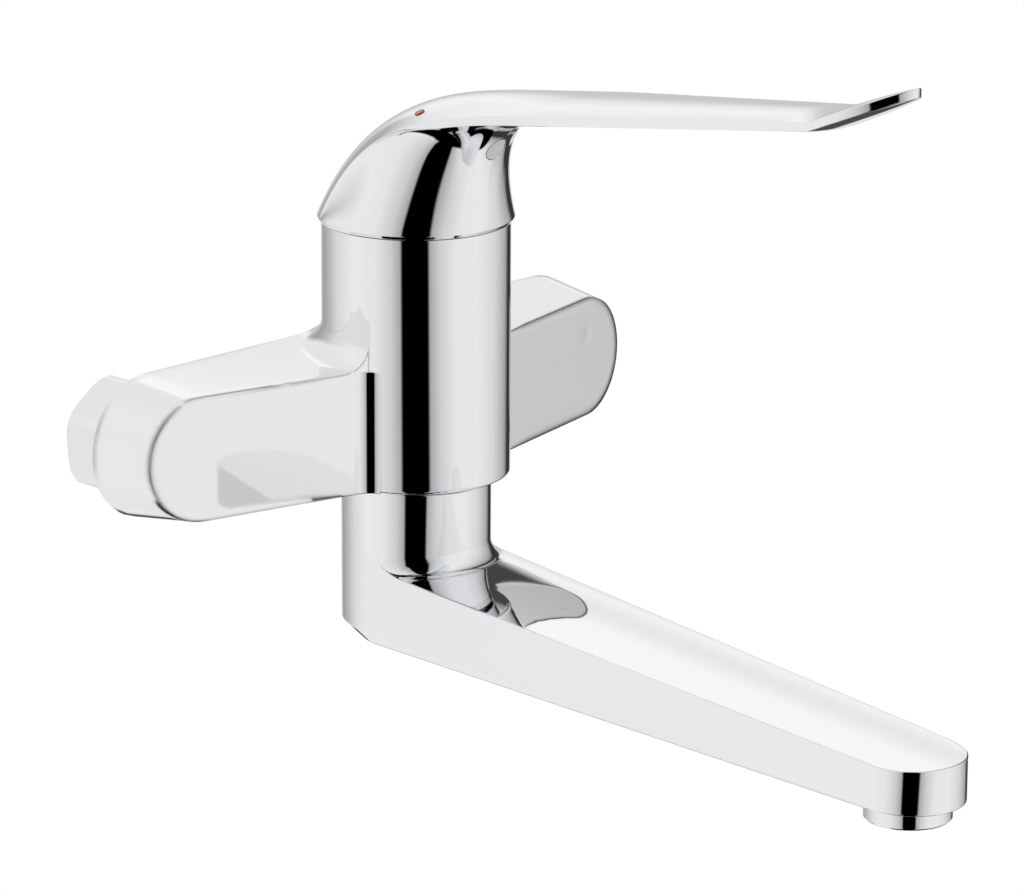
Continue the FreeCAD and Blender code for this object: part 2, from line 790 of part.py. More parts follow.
def blade():
    """The straight run of the blade from the dome to the crease."""
    narrow = math.tan(math.radians(size("blade_taper")))
    wires = []
    for forward in (size("blade_start"), size("blade_end")):
        half_width = size("blade_half_width") - (forward - size("blade_start")) * narrow
        wires.append(blade_wire(forward, half_width, blade_top(forward)))
    return Part.makeLoft(wires, True, True)


def tip():
    """The upturned end of the blade, rounded in plan."""
    narrow = math.tan(math.radians(size("blade_taper")))
    start = size("blade_end")
    root = size("blade_half_width") - (start - size("blade_start")) * narrow
    length = size("tip_reach") - start
    slope = math.tan(math.radians(size("blade_slope") + size("tip_bend")))
    wires = []
    for step in range(9):
        share = 0.999 * math.sin(math.pi / 2 * step / 8.0)
        narrowing = (1 - share ** size("tip_fullness")) ** size("tip_roundness")
        half_width = (root - share * length * narrow) * narrowing
        wires.append(blade_wire(start + share * length, half_width, blade_top(start) + share * length * slope))
    return Part.makeLoft(wires, True, False)


def mark_axis(side):
    """A point on the dome's top and the direction square to the surface there."""
    outside = doc.getObject("lever_outside").Shape
    start = lever_point(size("mark_forward"), 0)
    heights = []
    for across, along in ((0.0, 0.0), (0.2, 0.0), (0.0, 0.2)):
        foot = start + FreeCAD.Vector(side * size("mark_offset") + across, along, 0)
        probe = Part.makeLine(foot, foot + FreeCAD.Vector(0, 0, 3 * size("lip_radius")))
        heights.append(max(vertex.Z for vertex in outside.common(probe).Vertexes))
    point = FreeCAD.Vector(side * size("mark_offset"), start.y, heights[0])
    normal = FreeCAD.Vector(heights[0] - heights[1], heights[0] - heights[2], 0.2).normalize()
    return point, normal


def mark_pin(side, radius):
    """The pin that fills a temperature mark's seat; it stands above the surface."""
    point, normal = mark_axis(side)
    depth = size("mark_depth")
    return Part.makeCylinder(radius, 3 * depth, point - normal * depth, normal)


def lever():
    """The cast lever: the dome is hollow, with a boss for the stem and a screw from the front.

    The hollow is round about the pin, so that the dome clears the column at any lift.
    """
    outside = computed("lever_outside", lever_outside())
    doc.recompute()
    hollow = ball("sqrt((column_radius + free_clearance) ^ 2 + pivot_depth ^ 2)", ("0", COLUMN_Y, PIVOT_Z))
    boss_z = SEAM + " + screw_height - boss_drop"
    room = cut(hollow, [rod("boss_radius", "boss_drop", ("0", COLUMN_Y, boss_z))], "dome_room")
    socket_width = "stem_width + 2 * fitted_clearance"
    socket_height = "stem_top - screw_height + boss_drop + 2 * lip_gap"
    socket = block(socket_width, socket_width, socket_height, ("0", COLUMN_Y, boss_z + " - lip_gap"))
    screw_at = ("0", COLUMN_Y, SEAM + " + screw_height")
    screw_hole = rod("screw_radius + fitted_clearance", "2 * lip_radius", screw_at, "-Y")
    cap_at = ("0", PLUG_Y, SEAM + " + screw_height")
    tools = [room, socket, screw_hole, rod("plug_radius", "2 * lip_radius", cap_at, "-Y")]
    for side in (-1, 1):
        tools.append(computed("mark_seat", mark_pin(side, size("mark_radius"))))
    return cut(outside, tools, "lever")


def screw_cap():
    """The cap over the screw hole, flush with the front of the dome."""
    at = ("0", PLUG_Y, SEAM + " + screw_height")
    blank = rod("plug_radius - fitted_clearance", "2 * lip_radius", at, "-Y")
    near = block("4 * plug_radius", "lip_radius", "4 * plug_radius", CAP_ROOM)
    return shared([doc.getObject("lever_outside"), blank, near], "screw_cap")


def lever_screw():
    """The grub screw that grips the stem, with its hexagon socket."""
    at = ("0", COLUMN_Y + " - stem_width / 2 - fitted_clearance", SEAM + " + screw_height")
    return grub_screw("lever_screw", "screw_radius", "screw_length", at)


def grub_screw(label, radius, length, at):
    """A headless screw that points along -Y, with a hexagon socket in its front half."""
    x, y, z = at
    key = doc.addObject("Part::Prism", "key_room")
    key.Polygon = 6
    bind(key, Circumradius=radius + " * 0.6", Height=length)
    place(key, (x, "%s - (%s) / 2" % (y, length), z), "-Y")
    return cut(rod(radius, length, at, "-Y"), [key], label)


def temperature_mark(label, side):
    pin = computed(label + "_pin", mark_pin(side, size("mark_radius") - size("fitted_clearance")))
    return shared([doc.getObject("lever_outside"), pin], label)


def spout_outline(grow):
    """The spout seen from above: a large and a small half round with straight sides, grown all round."""
    reach = size("spout_reach")
    root = size("spout_radius") + grow
    end = size("spout_tip_radius") + grow
    lean = math.asin((root - end) / reach)
    right = FreeCAD.Vector(math.cos(lean), -math.sin(lean), 0)
    left = FreeCAD.Vector(-math.cos(lean), -math.sin(lean), 0)
    axis = FreeCAD.Vector(0, -size("inlet_to_column"), 0)
    tip_axis = axis - FreeCAD.Vector(0, reach, 0)
    back = FreeCAD.Vector(0, root, 0)
    front = FreeCAD.Vector(0, end, 0)
    edges = [
        Part.Arc(axis + left * root, axis + back, axis + right * root).toShape(),
        Part.makeLine(axis + right * root, tip_axis + right * end),
        Part.Arc(tip_axis + right * end, tip_axis - front, tip_axis + left * end).toShape(),
        Part.makeLine(tip_axis + left * end, axis + left * root),
    ]
    return Part.Wire(edges)


def tilted(shape, height, slope):
    """A copy of a shape raised to a height at the column's axis and sloped down to the front."""
    moved = shape.copy()
    moved.translate(FreeCAD.Vector(0, 0, height))
    moved.rotate(FreeCAD.Vector(0, -size("inlet_to_column"), height), FreeCAD.Vector(1, 0, 0), slope)
    return moved


def spout_crown():
    """The long round whose top is the spout's crowned upper face."""
    radius = size("spout_crown_radius")
    rise_root = radius - math.sqrt(radius ** 2 - size("spout_radius") ** 2)
    rise_tip = radius - math.sqrt(radius ** 2 - size("spout_tip_radius") ** 2)
    fall = size("spout_reach") * math.tan(math.radians(size("spout_top_slope"))) + rise_root - rise_tip
    slope = math.degrees(math.atan(fall / size("spout_reach")))
    start = FreeCAD.Vector(0, 2 * size("spout_radius"), -radius)
    crown = Part.makeCylinder(radius, 2 * size("spout_reach"), start, FreeCAD.Vector(0, -1, 0))
    return tilted(crown, rise_root - size("spout_top"), slope)


def spout_bevel():
    """The block with sides at 45 degrees that bevels the spout's lower edge."""
    wires = []
    for grow in (2 * size("spout_radius"), -1.6 * size("spout_bevel")):
        wires.append(tilted(spout_outline(grow), grow - size("spout_bottom"), size("spout_bottom_slope")))
    return Part.makeLoft(wires, True, True)


def spout_above():
    """Everything above the spout's flat underside."""
    level = size("spout_bottom") + size("spout_bevel")
    edge_fall = size("spout_reach") * math.tan(math.radians(size("spout_bottom_slope")))
    fall = edge_fall + size("spout_bevel_end") - size("spout_bevel")
    slope = math.degrees(math.atan(fall / size("spout_reach")))
    reach = size("spout_reach")
    box = Part.makeBox(reach, 4 * reach, reach, FreeCAD.Vector(-reach / 2, -2 * reach, 0))
    return tilted(box, -level, slope)


def spout_outside():
    """The swivel base and the arm, without the neck."""
    top = -size("arm_radius") - size("spout_gap")
    foot = FreeCAD.Vector(0, -size("inlet_to_column"), -size("spout_bottom") + size("spout_bevel"))
    column = Part.makeCylinder(size("spout_radius"), top - foot.z, foot)
    whole = spout_crown().fuse(column)
    roots = [edge for edge in whole.Edges if is_spout_root(edge)]
    whole = whole.makeFillet(size("spout_root_fillet"), roots)
    outline = spout_outline(0)
    outline.translate(FreeCAD.Vector(0, 0, -2 * size("spout_bottom")))
    prism = Part.Face(outline).extrude(FreeCAD.Vector(0, 0, 2 * size("spout_bottom")))
    return whole.common(prism).common(spout_bevel()).common(spout_above()).removeSplitter()


def is_spout_root(edge):
    """True for the edge where the swivel base meets the crowned top."""
    points = edge.discretize(5)
    level = -size("arm_radius") - size("spout_gap") - size("spout_root_fillet")
    if max(point.z for point in points) > level:
        return False
    if min(point.z for point in points) < -size("spout_bottom") + size("spout_bevel") + 1:
        return False
    return all(abs(column_distance(point) - size("spout_radius")) < 0.01 for point in points)


def spout():
    """The cast spout with its neck, seal grooves, waterway and the bore for the outlet."""
    outside = computed("spout_outside", spout_outside())
    axis_x, axis_y = "0", COLUMN_Y
    neck = rod("neck_radius", "neck_length + spout_root_fillet", (axis_x, axis_y, SHOULDER_Z + " - spout_root_fillet"))
    groove_width = "(2 * oring_radius + 2 * fitted_clearance)"
    tools = []
    for drop in ("oring_first", "(oring_first + oring_pitch)"):
        level = "%s - %s - %s / 2" % (NECK_TOP, drop, groove_width)
        inner = "neck_radius + running_clearance - 2 * oring_radius - fitted_clearance"
        tools.append(ring("seal_groove", "neck_radius + 1", inner, groove_width, (axis_x, axis_y, level)))
    lock_width = "2 * (lock_screw_radius + free_clearance)"
    lock_z = "%s - lock_screw_radius - free_clearance" % LOCK_Z
    tools.append(ring("lock_groove", "neck_radius + 1", "neck_radius - lock_groove_depth", lock_width, (axis_x, axis_y, lock_z)))
    recess_z = "-arm_radius - fitted_clearance - glide_ring_thickness"
    tools.append(ring("glide_recess", "glide_ring_radius", "neck_radius", "5", (axis_x, axis_y, recess_z)))
    tools.append(rod("waterway_radius", "neck_length + spout_channel_drop", (axis_x, axis_y, "-spout_channel_drop")))
    tools.append(
        rod(
            "spout_channel_radius",
            "spout_reach - spout_channel_radius",
            (axis_x, axis_y, "-spout_channel_drop"),
            "spout",
        )
    )
    tools.append(rod("aerator_thread_radius", "aerator_depth + 5", (axis_x, AERATOR_Y, OUTLET_Z + " - 5")))
    tools.append(rod("aerator_thread_radius - 3", "1.5 + 1", (axis_x, AERATOR_Y, BORE_TOP + " - 1")))
    tools.append(rod("aerator_radius + free_clearance", "aerator_seat + 5", (axis_x, AERATOR_Y, OUTLET_Z + " - 5")))
    return cut(joined([outside, neck]), tools, "spout")


def spout_orings():
    """The two seals in the neck's grooves."""
    seals = []
    for drop in ("oring_first", "(oring_first + oring_pitch)"):
        seal = doc.addObject("Part::Torus", "seal")
        bind(seal, Radius1="neck_radius + running_clearance - oring_radius - fitted_clearance / 2", Radius2="oring_radius")
        seals.append(place(seal, ("0", COLUMN_Y, "%s - %s" % (NECK_TOP, drop))))
    return joined(seals, "spout_orings")


def glide_ring():
    """The plastic ring that the spout turns against under the column."""
    level = "-arm_radius - fitted_clearance - glide_ring_thickness"
    at = ("0", COLUMN_Y, level)
    outer = "glide_ring_radius - fitted_clearance"
    return ring("spout_glide_ring", outer, "neck_radius + fitted_clearance", "glide_ring_thickness", at)


def lock_screw():
    """The grub screw from the back of the body whose end runs in the neck's groove."""
    length = "inlet_to_column - arm_rear - 0.4 - neck_radius + lock_groove_depth - free_clearance"
    end_y = "-inlet_to_column + neck_radius - lock_groove_depth + free_clearance"
    blank = rod("lock_screw_radius", length, ("0", end_y, LOCK_Z), "+Y")
    key = doc.addObject("Part::Prism", "key_room")
    key.Polygon = 6
    bind(key, Circumradius="lock_screw_radius * 0.6", Height="inlet_to_column")
    place(key, ("0", end_y + " + (%s) * 0.6" % length, LOCK_Z), "+Y")
    return cut(blank, [key], "spout_lock_screw")


def aerator_housing():
    """The bright outlet ring with its threaded upper part."""
    inner = "aerator_thread_radius - aerator_wall"
    thread_top = BORE_TOP + " - aerator_seal_thickness - insert_flange - fitted_clearance"
    corners = [
        (inner, OUTLET_Z + " - aerator_drop"),
        ("aerator_radius - 0.5", OUTLET_Z + " - aerator_drop"),
        ("aerator_radius", OUTLET_Z + " - aerator_drop + 0.5"),
        ("aerator_radius", SEAT_Z + " - fitted_clearance"),
        ("aerator_thread_radius - fitted_clearance", SEAT_Z + " - fitted_clearance"),
        ("aerator_thread_radius - fitted_clearance", thread_top),
        (inner, thread_top),
    ]
    return turned("aerator_housing", corners, ("0", AERATOR_Y, "0"))


def aerator_insert():
    """The plastic insert: a cup with a perforated floor, hung on its flange."""
    inner = "aerator_thread_radius - aerator_wall - fitted_clearance"
    flange_low = BORE_TOP + " - aerator_seal_thickness - insert_flange"
    floor = "(%s - aerator_drop + 1)" % OUTLET_Z
    cup = rod(inner, "%s + insert_flange - %s" % (flange_low, floor), ("0", AERATOR_Y, floor))
    flange = rod("aerator_thread_radius - fitted_clearance", "insert_flange", ("0", AERATOR_Y, flange_low))
    tools = [rod(inner + " - aerator_wall", "aerator_depth + aerator_drop", ("0", AERATOR_Y, floor + " + insert_floor"))]
    for count, share in ((1, 0.0), (6, 0.32), (12, 0.62)):
        for index in range(count):
            angle = 360.0 * index / count
            across = "aerator_radius * %s * cos(%s deg)" % (share, angle)
            along = "%s + aerator_radius * %s * sin(%s deg)" % (AERATOR_Y, share, angle)
            tools.append(rod("insert_hole_radius", "2 * insert_floor", (across, along, floor + " - 1")))
    return cut(joined([cup, flange]), tools, "aerator_insert")


def aerator_seal():
    at = ("0", AERATOR_Y, BORE_TOP + " - aerator_seal_thickness")
    outer = "aerator_thread_radius - fitted_clearance"
    return ring("aerator_seal", outer, "aerator_thread_radius - 3", "aerator_seal_thickness", at)


def build_pieces():
    pieces = [mixer_body()]
    for side, word in (("-", "left"), ("", "right")):
        for maker in (inlet_tail, union_nut, inlet_gasket, inlet_filter):
            pieces.append(maker(side, word))
    makers = [
        cartridge_base,
        base_seals,
        fixed_disc,
        moving_disc,
        disc_carrier,
        cartridge_housing,
        rotor,
        stem_pin,
        stem,
        stop_ring,
        clamp_ring,
        guard_ring,
        lever,
        screw_cap,
        lever_screw,
        spout,
        spout_orings,
        glide_ring,
        lock_screw,
        aerator_housing,
        aerator_insert,
        aerator_seal,
    ]
    for maker in makers:
        pieces.append(maker())
    pieces.append(temperature_mark("red_mark", -1))
    pieces.append(temperature_mark("blue_mark", 1))
    return pieces


def check_pieces(pieces):
    for obj in doc.Objects:
        if "Invalid" in obj.State or "Error" in obj.State:
            raise RuntimeError("%s is %s" % (obj.Label, obj.State))
    for piece in pieces:
        if piece.Shape.isNull() or not piece.Shape.isValid():
            raise RuntimeError("%s has no valid shape" % piece.Label)


def write_pieces(pieces):
    os.makedirs("parts", exist_ok=True)
    for piece in pieces:
        piece.Shape.exportStep("parts/%s.step" % piece.Label)


all_pieces = build_pieces()
doc.recompute()
check_pieces(all_pieces)
write_pieces(all_pieces)
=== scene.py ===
import json
import math

import bpy
from mathutils import Matrix, Vector

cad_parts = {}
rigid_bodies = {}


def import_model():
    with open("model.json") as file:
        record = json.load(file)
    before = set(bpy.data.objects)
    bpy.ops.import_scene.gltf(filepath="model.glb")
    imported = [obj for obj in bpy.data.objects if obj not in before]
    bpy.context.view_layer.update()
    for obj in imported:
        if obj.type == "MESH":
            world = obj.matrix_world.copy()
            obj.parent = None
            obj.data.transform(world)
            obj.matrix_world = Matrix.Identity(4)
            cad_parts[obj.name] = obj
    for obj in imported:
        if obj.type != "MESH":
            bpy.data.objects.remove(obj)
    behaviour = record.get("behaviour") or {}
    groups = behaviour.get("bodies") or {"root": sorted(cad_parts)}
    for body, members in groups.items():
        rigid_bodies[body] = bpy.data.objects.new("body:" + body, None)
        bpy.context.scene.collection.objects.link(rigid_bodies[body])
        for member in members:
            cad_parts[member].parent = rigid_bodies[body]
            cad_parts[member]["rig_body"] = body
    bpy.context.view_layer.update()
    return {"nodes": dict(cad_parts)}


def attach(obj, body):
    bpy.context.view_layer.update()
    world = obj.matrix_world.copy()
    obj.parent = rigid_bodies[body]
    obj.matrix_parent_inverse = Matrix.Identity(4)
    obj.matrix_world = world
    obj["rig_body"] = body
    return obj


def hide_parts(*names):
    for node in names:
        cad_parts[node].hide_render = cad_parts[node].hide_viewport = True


bl_info = {
    "name": "Basin mixer finishes",
    "version": (1, 0, 0),
    "blender": (4, 5, 0),
    "location": "3D View > Sidebar > Mixer",
    "description": "Dresses the wall-mounted basin mixer and sets up its studio",
    "category": "Object",
}

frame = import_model()

MM = 0.001
INLET_X = 0.075
COLUMN_Y = -0.0426
COLUMN_RADIUS = 0.0259
SEAM_Z = 0.054
ARM_RADIUS = 0.017
ARM_SWEEP = math.asin(0.227)
# distance from the wall fittings' middle to the arms' front faces, square to those faces
ARM_FRONT = 0.05355
SMOOTH_ANGLE = 28
WELD = 2e-6


# ---------------------------------------------------------------- settings


class MixerFinish(bpy.types.PropertyGroup):
    """Colours and surface sizes of the mixer's finishes."""

    chrome_colour: bpy.props.FloatVectorProperty(
        name="Chrome colour",
        description="Tint of the plated surfaces",
        default=(0.86, 0.87, 0.88),
        subtype="COLOR",
        min=0,
        max=1,
    )
    chrome_roughness: bpy.props.FloatProperty(
        name="Chrome roughness",
        description="How blurred the reflections in the plating are",
        default=0.035,
        min=0,
        max=1,
    )
    edge_radius: bpy.props.FloatProperty(
        name="Polished edge",
        description="Radius that polishing leaves on the arms' edges",
        default=0.004,
        subtype="DISTANCE",
        unit="LENGTH",
    )
    brass_colour: bpy.props.FloatVectorProperty(
        name="Brass colour",
        description="Colour of the turned brass that isn't plated",
        default=(0.78, 0.58, 0.30),
        subtype="COLOR",
        min=0,
        max=1,
    )
    hot_colour: bpy.props.FloatVectorProperty(
        name="Hot mark",
        description="Colour of the enamel on the hot side",
        default=(0.42, 0.05, 0.04),
        subtype="COLOR",
        min=0,
        max=1,
    )
    cold_colour: bpy.props.FloatVectorProperty(
        name="Cold mark",
        description="Colour of the enamel on the cold side",
        default=(0.03, 0.10, 0.42),
        subtype="COLOR",
        min=0,
        max=1,
    )


class MixerSizes(bpy.types.PropertyGroup):
    """Sizes of the details that are added to the frame."""

    thread_pitch: bpy.props.FloatProperty(
        name="Inlet thread pitch",
        description="Distance from one turn of the union nut's thread to the next",
        default=0.001814,
        subtype="DISTANCE",
        unit="LENGTH",
    )
    thread_depth: bpy.props.FloatProperty(
        name="Inlet thread depth",
        description="How deep the union nut's thread is cut",
        default=0.00105,
        subtype="DISTANCE",
        unit="LENGTH",
    )
    nut_chamfer: bpy.props.FloatProperty(
        name="Nut chamfer",
        description="Width of the turned chamfer on the ends of a union nut",
        default=0.0011,
        subtype="DISTANCE",
        unit="LENGTH",
    )
    floor_drop: bpy.props.FloatProperty(
        name="Floor drop",
        description="How far the studio floor lies below the inlets",
        default=0.62,
        subtype="DISTANCE",
        unit="LENGTH",
    )


def finish():
    return bpy.context.scene.mixer_finish


def sizes():
    return bpy.context.scene.mixer_sizes


# ---------------------------------------------------------------- node helpers


def new_material(name):
    material = bpy.data.materials.new(name)
    material.use_nodes = True
    nodes = material.node_tree.nodes
    return material, nodes["Principled BSDF"]


def add_node(tree, kind, **settings):
    node = tree.nodes.new(kind)
    for key, value in settings.items():
        setattr(node, key, value)
    return node


def maths(tree, operation, *inputs, clamp=False):
    """One Math node; each input is a number or another node's output."""
    node = add_node(tree, "ShaderNodeMath", operation=operation, use_clamp=clamp)
    for socket, value in zip(node.inputs, inputs):
        if isinstance(value, (int, float)):
            socket.default_value = value
        else:
            tree.links.new(value, socket)
    return node.outputs[0]


def ramp(tree, factor, stops):
    """A colour ramp of grey levels given as (place, level) pairs."""
    node = add_node(tree, "ShaderNodeValToRGB")
    elements = node.color_ramp.elements
    while len(elements) < len(stops):
        elements.new(0.5)
    for element, (place, level) in zip(elements, stops):
        element.position = place
        element.color = (level, level, level, 1)
    tree.links.new(factor, node.inputs["Fac"])
    return node.outputs["Color"]


def mixed(tree, factor, first, second):
    """Two colours blended by a factor; each is a colour or another node's output."""
    node = add_node(tree, "ShaderNodeMix", data_type="RGBA")
    tree.links.new(factor, node.inputs["Factor"])
    for name, colour in (("A", first), ("B", second)):
        if isinstance(colour, tuple):
            node.inputs[name].default_value = (*colour, 1)
        else:
            tree.links.new(colour, node.inputs[name])
    return node.outputs["Result"]


def darker(colour, share):
    return tuple(channel * share for channel in colour)


def grain(tree, scale, detail=2.0, stretch=(1, 1, 1)):
    """Noise on the object's own coordinates."""
    coords = add_node(tree, "ShaderNodeTexCoord")
    mapping = add_node(tree, "ShaderNodeMapping")
    mapping.inputs["Scale"].default_value = stretch
    noise = add_node(tree, "ShaderNodeTexNoise")
    noise.inputs["Scale"].default_value = scale
    noise.inputs["Detail"].default_value = detail
    tree.links.new(coords.outputs["Object"], mapping.inputs["Vector"])
    tree.links.new(mapping.outputs["Vector"], noise.inputs["Vector"])
    return noise.outputs["Fac"]


def spread(tree, factor, low, high, start=0.0, end=1.0):
    """Goes from low to high while the factor goes from start to end."""
    node = add_node(tree, "ShaderNodeMapRange")
    node.inputs["From Min"].default_value = start
    node.inputs["From Max"].default_value = end
    node.inputs["To Min"].default_value = low
    node.inputs["To Max"].default_value = high
    tree.links.new(factor, node.inputs["Value"])
    return node.outputs["Result"]


def bumped(tree, shader, height, strength, distance, base=None):
    """Fine relief on the surface, over another node's direction if one is given."""
    node = add_node(tree, "ShaderNodeBump")
    node.inputs["Strength"].default_value = strength
    node.inputs["Distance"].default_value = distance
    tree.links.new(height, node.inputs["Height"])
    if base is not None:
        tree.links.new(base, node.inputs["Normal"])
    tree.links.new(node.outputs["Normal"], shader.inputs["Normal"])


# ---------------------------------------------------------------- finishes

# distances from the middle at which the arms' rounder edges start and are full
ROUNDER_EDGES = (0.026, 0.042)


def chrome(name, edge, arm_edge=None):
    """Bright plating: nearly clear reflections, with edges softened by polishing.

    The arms' edges are rounder than the column's, so their radius grows with the distance
    from the middle.
    """
    material, shader = new_material(name)
    tree = material.node_tree
    shader.inputs["Metallic"].default_value = 1.0
    shader.inputs["Base Color"].default_value = (*finish().chrome_colour, 1)
    level = finish().chrome_roughness
    gloss = spread(tree, grain(tree, 90.0, 3.0), level * 0.7, level * 1.3)
    tree.links.new(gloss, shader.inputs["Roughness"])
    rounded = add_node(tree, "ShaderNodeBevel", samples=8)
    rounded.inputs["Radius"].default_value = edge
    if arm_edge is not None:
        coords = add_node(tree, "ShaderNodeTexCoord")
        parts = add_node(tree, "ShaderNodeSeparateXYZ")
        tree.links.new(coords.outputs["Object"], parts.inputs[0])
        sideways = maths(tree, "ABSOLUTE", parts.outputs[0])
        radius = spread(tree, sideways, edge, arm_edge, *ROUNDER_EDGES)
        tree.links.new(radius, rounded.inputs["Radius"])
    bumped(tree, shader, grain(tree, 55.0, 1.0), 0.02, 0.0002, rounded.outputs["Normal"])
    return material


def turned_metal(name, colour, roughness):
    """Bare metal with the fine rings that turning leaves around the line forward."""
    material, shader = new_material(name)
    tree = material.node_tree
    shader.inputs["Metallic"].default_value = 1.0
    rings = grain(tree, 2600.0, 2.0, (0.02, 1.0, 0.02))
    stain = spread(tree, grain(tree, 140.0, 4.0), 0.0, 0.6)
    shade = mixed(tree, stain, colour, darker(colour, 0.72))
    tree.links.new(shade, shader.inputs["Base Color"])
    gloss = spread(tree, rings, roughness * 0.7, roughness * 1.4)
    tree.links.new(gloss, shader.inputs["Roughness"])
    bumped(tree, shader, rings, 0.25, 0.00005)
    return material


def moulded(name, colour, roughness):
    """Moulded plastic or rubber with a fine matt grain."""
    material, shader = new_material(name)
    tree = material.node_tree
    cloud = spread(tree, grain(tree, 260.0, 3.0), 0.0, 0.8)
    shade = mixed(tree, cloud, colour, darker(colour, 0.82))
    tree.links.new(shade, shader.inputs["Base Color"])
    fine = grain(tree, 3800.0, 2.0)
    gloss = spread(tree, fine, roughness * 0.85, roughness * 1.15)
    tree.links.new(gloss, shader.inputs["Roughness"])
    bumped(tree, shader, fine, 0.4, 0.00003)
    return material


def ceramic():
    """Ground and lapped alumina."""
    material, shader = new_material("ceramic")
    tree = material.node_tree
    shade = mixed(tree, grain(tree, 900.0, 4.0), (0.86, 0.82, 0.76), (0.74, 0.70, 0.64))
    tree.links.new(shade, shader.inputs["Base Color"])
    tree.links.new(spread(tree, grain(tree, 500.0), 0.12, 0.25), shader.inputs["Roughness"])
    return material


def enamel(name, colour):
    """Glossy enamel under a clear coat, its colour a little uneven."""
    material, shader = new_material(name)
    tree = material.node_tree
    shade = mixed(tree, grain(tree, 1500.0, 2.0), colour, darker(colour, 0.6))
    tree.links.new(shade, shader.inputs["Base Color"])
    shader.inputs["Roughness"].default_value = 0.35
    shader.inputs["Coat Weight"].default_value = 0.6
    shader.inputs["Coat Roughness"].default_value = 0.08
    return material


FINISHES = {}


def make_finishes():
    steel = (0.62, 0.61, 0.60)
    brass = tuple(finish().brass_colour)
    FINISHES.update(
        chrome_casting=chrome("chrome_casting", 0.0005, finish().edge_radius),
        chrome_spout=chrome("chrome_spout", 0.0008),
        chrome_lever=chrome("chrome_lever", 0.0004),
        chrome_trim=chrome("chrome_trim", 0.0003),
        bare_brass=turned_metal("bare_brass", brass, 0.28),
        steel=turned_metal("steel", steel, 0.3),
        ceramic=ceramic(),
        cartridge_plastic=moulded("cartridge_plastic", (0.78, 0.78, 0.76), 0.45),
        grey_plastic=moulded("grey_plastic", (0.55, 0.56, 0.57), 0.38),
        plug_plastic=moulded("plug_plastic", (0.66, 0.65, 0.63), 0.5),
        seal_rubber=moulded("seal_rubber", (0.025, 0.025, 0.027), 0.6),
        red_enamel=enamel("red_enamel", tuple(finish().hot_colour)),
        blue_enamel=enamel("blue_enamel", tuple(finish().cold_colour)),
    )


# ---------------------------------------------------------------- mesh helpers


def only(obj):
    """Selects one object alone and makes it the active one."""
    bpy.ops.object.select_all(action="DESELECT")
    obj.select_set(True)
    bpy.context.view_layer.objects.active = obj
    return obj


def settle(obj):
    """Leaves the object at the origin with its place in its mesh."""
    only(obj)
    bpy.ops.object.transform_apply(location=True, rotation=True, scale=True)
    return obj


def smooth(obj, angle):
    only(obj)
    bpy.ops.object.shade_smooth_by_angle(angle=math.radians(angle))


def even_shading(obj):
    """Lets the flat faces keep their own direction where a curve runs into them."""
    only(obj)
    weighted = obj.modifiers.new("flat_faces", "WEIGHTED_NORMAL")
    weighted.mode = "FACE_AREA"
    weighted.weight = 60
    weighted.keep_sharp = True
    bpy.ops.object.modifier_apply(modifier=weighted.name)


def dress(obj, slot, body, *nodes, look=None):
    """Gives a finished piece its material and body and lets it stand for its CAD nodes."""
    obj.data.materials.clear()
    obj.data.materials.append(FINISHES[look or slot])
    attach(obj, body)
    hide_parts(*nodes)


def merged_copy(node, name):
    """A copy of a CAD node with its facets merged, its flat faces whole and its curves smooth."""
    piece = bpy.data.objects.new(name, frame["nodes"][node].data.copy())
    bpy.context.scene.collection.objects.link(piece)
    only(piece)
    if piece.data.has_custom_normals:
        bpy.ops.mesh.customdata_custom_splitnormals_clear()
    bpy.ops.object.mode_set(mode="EDIT")
    bpy.ops.mesh.select_all(action="SELECT")
    bpy.ops.mesh.remove_doubles(threshold=WELD)
    bpy.ops.mesh.dissolve_limited(angle_limit=0.002, delimit=set())
    bpy.ops.object.mode_set(mode="OBJECT")
    smooth(piece, SMOOTH_ANGLE)
    even_shading(piece)
    return piece


def outward(obj, threshold=None):
    """Turns every face outward, after joining the points that lie together."""
    only(obj)
    bpy.ops.object.mode_set(mode="EDIT")
    bpy.ops.mesh.select_all(action="SELECT")
    if threshold is not None:
        bpy.ops.mesh.remove_doubles(threshold=threshold)
    bpy.ops.mesh.normals_make_consistent(inside=False)
    bpy.ops.object.mode_set(mode="OBJECT")
    return obj


def new_piece(name, points, edges, faces):
    """A new object at the origin, made from its points, edges and faces."""
    mesh = bpy.data.meshes.new(name)
    mesh.from_pydata([tuple(point) for point in points], edges, faces)
    obj = bpy.data.objects.new(name, mesh)
    bpy.context.scene.collection.objects.link(obj)
    return only(obj)


def spun(name, section, centre, steps=96):
    """A turned piece: the section's (radius, distance) points are spun around a line forward."""
    aim = Matrix.Rotation(math.radians(90), 3, "X")
    points = [Vector(centre) + aim @ Vector((radius, 0, height)) for radius, height in section]
    edges = [(i, (i + 1) % len(points)) for i in range(len(points))]
    obj = new_piece(name, points, edges, [])
    bpy.ops.object.mode_set(mode="EDIT")
    bpy.ops.mesh.select_all(action="SELECT")
    turn = aim @ Vector((0, 0, 1))
    bpy.ops.mesh.spin(steps=steps, angle=2 * math.pi, center=centre, axis=tuple(turn))
    bpy.ops.object.mode_set(mode="OBJECT")
    return outward(obj, 1e-6)


# ---------------------------------------------------------------- lever's form

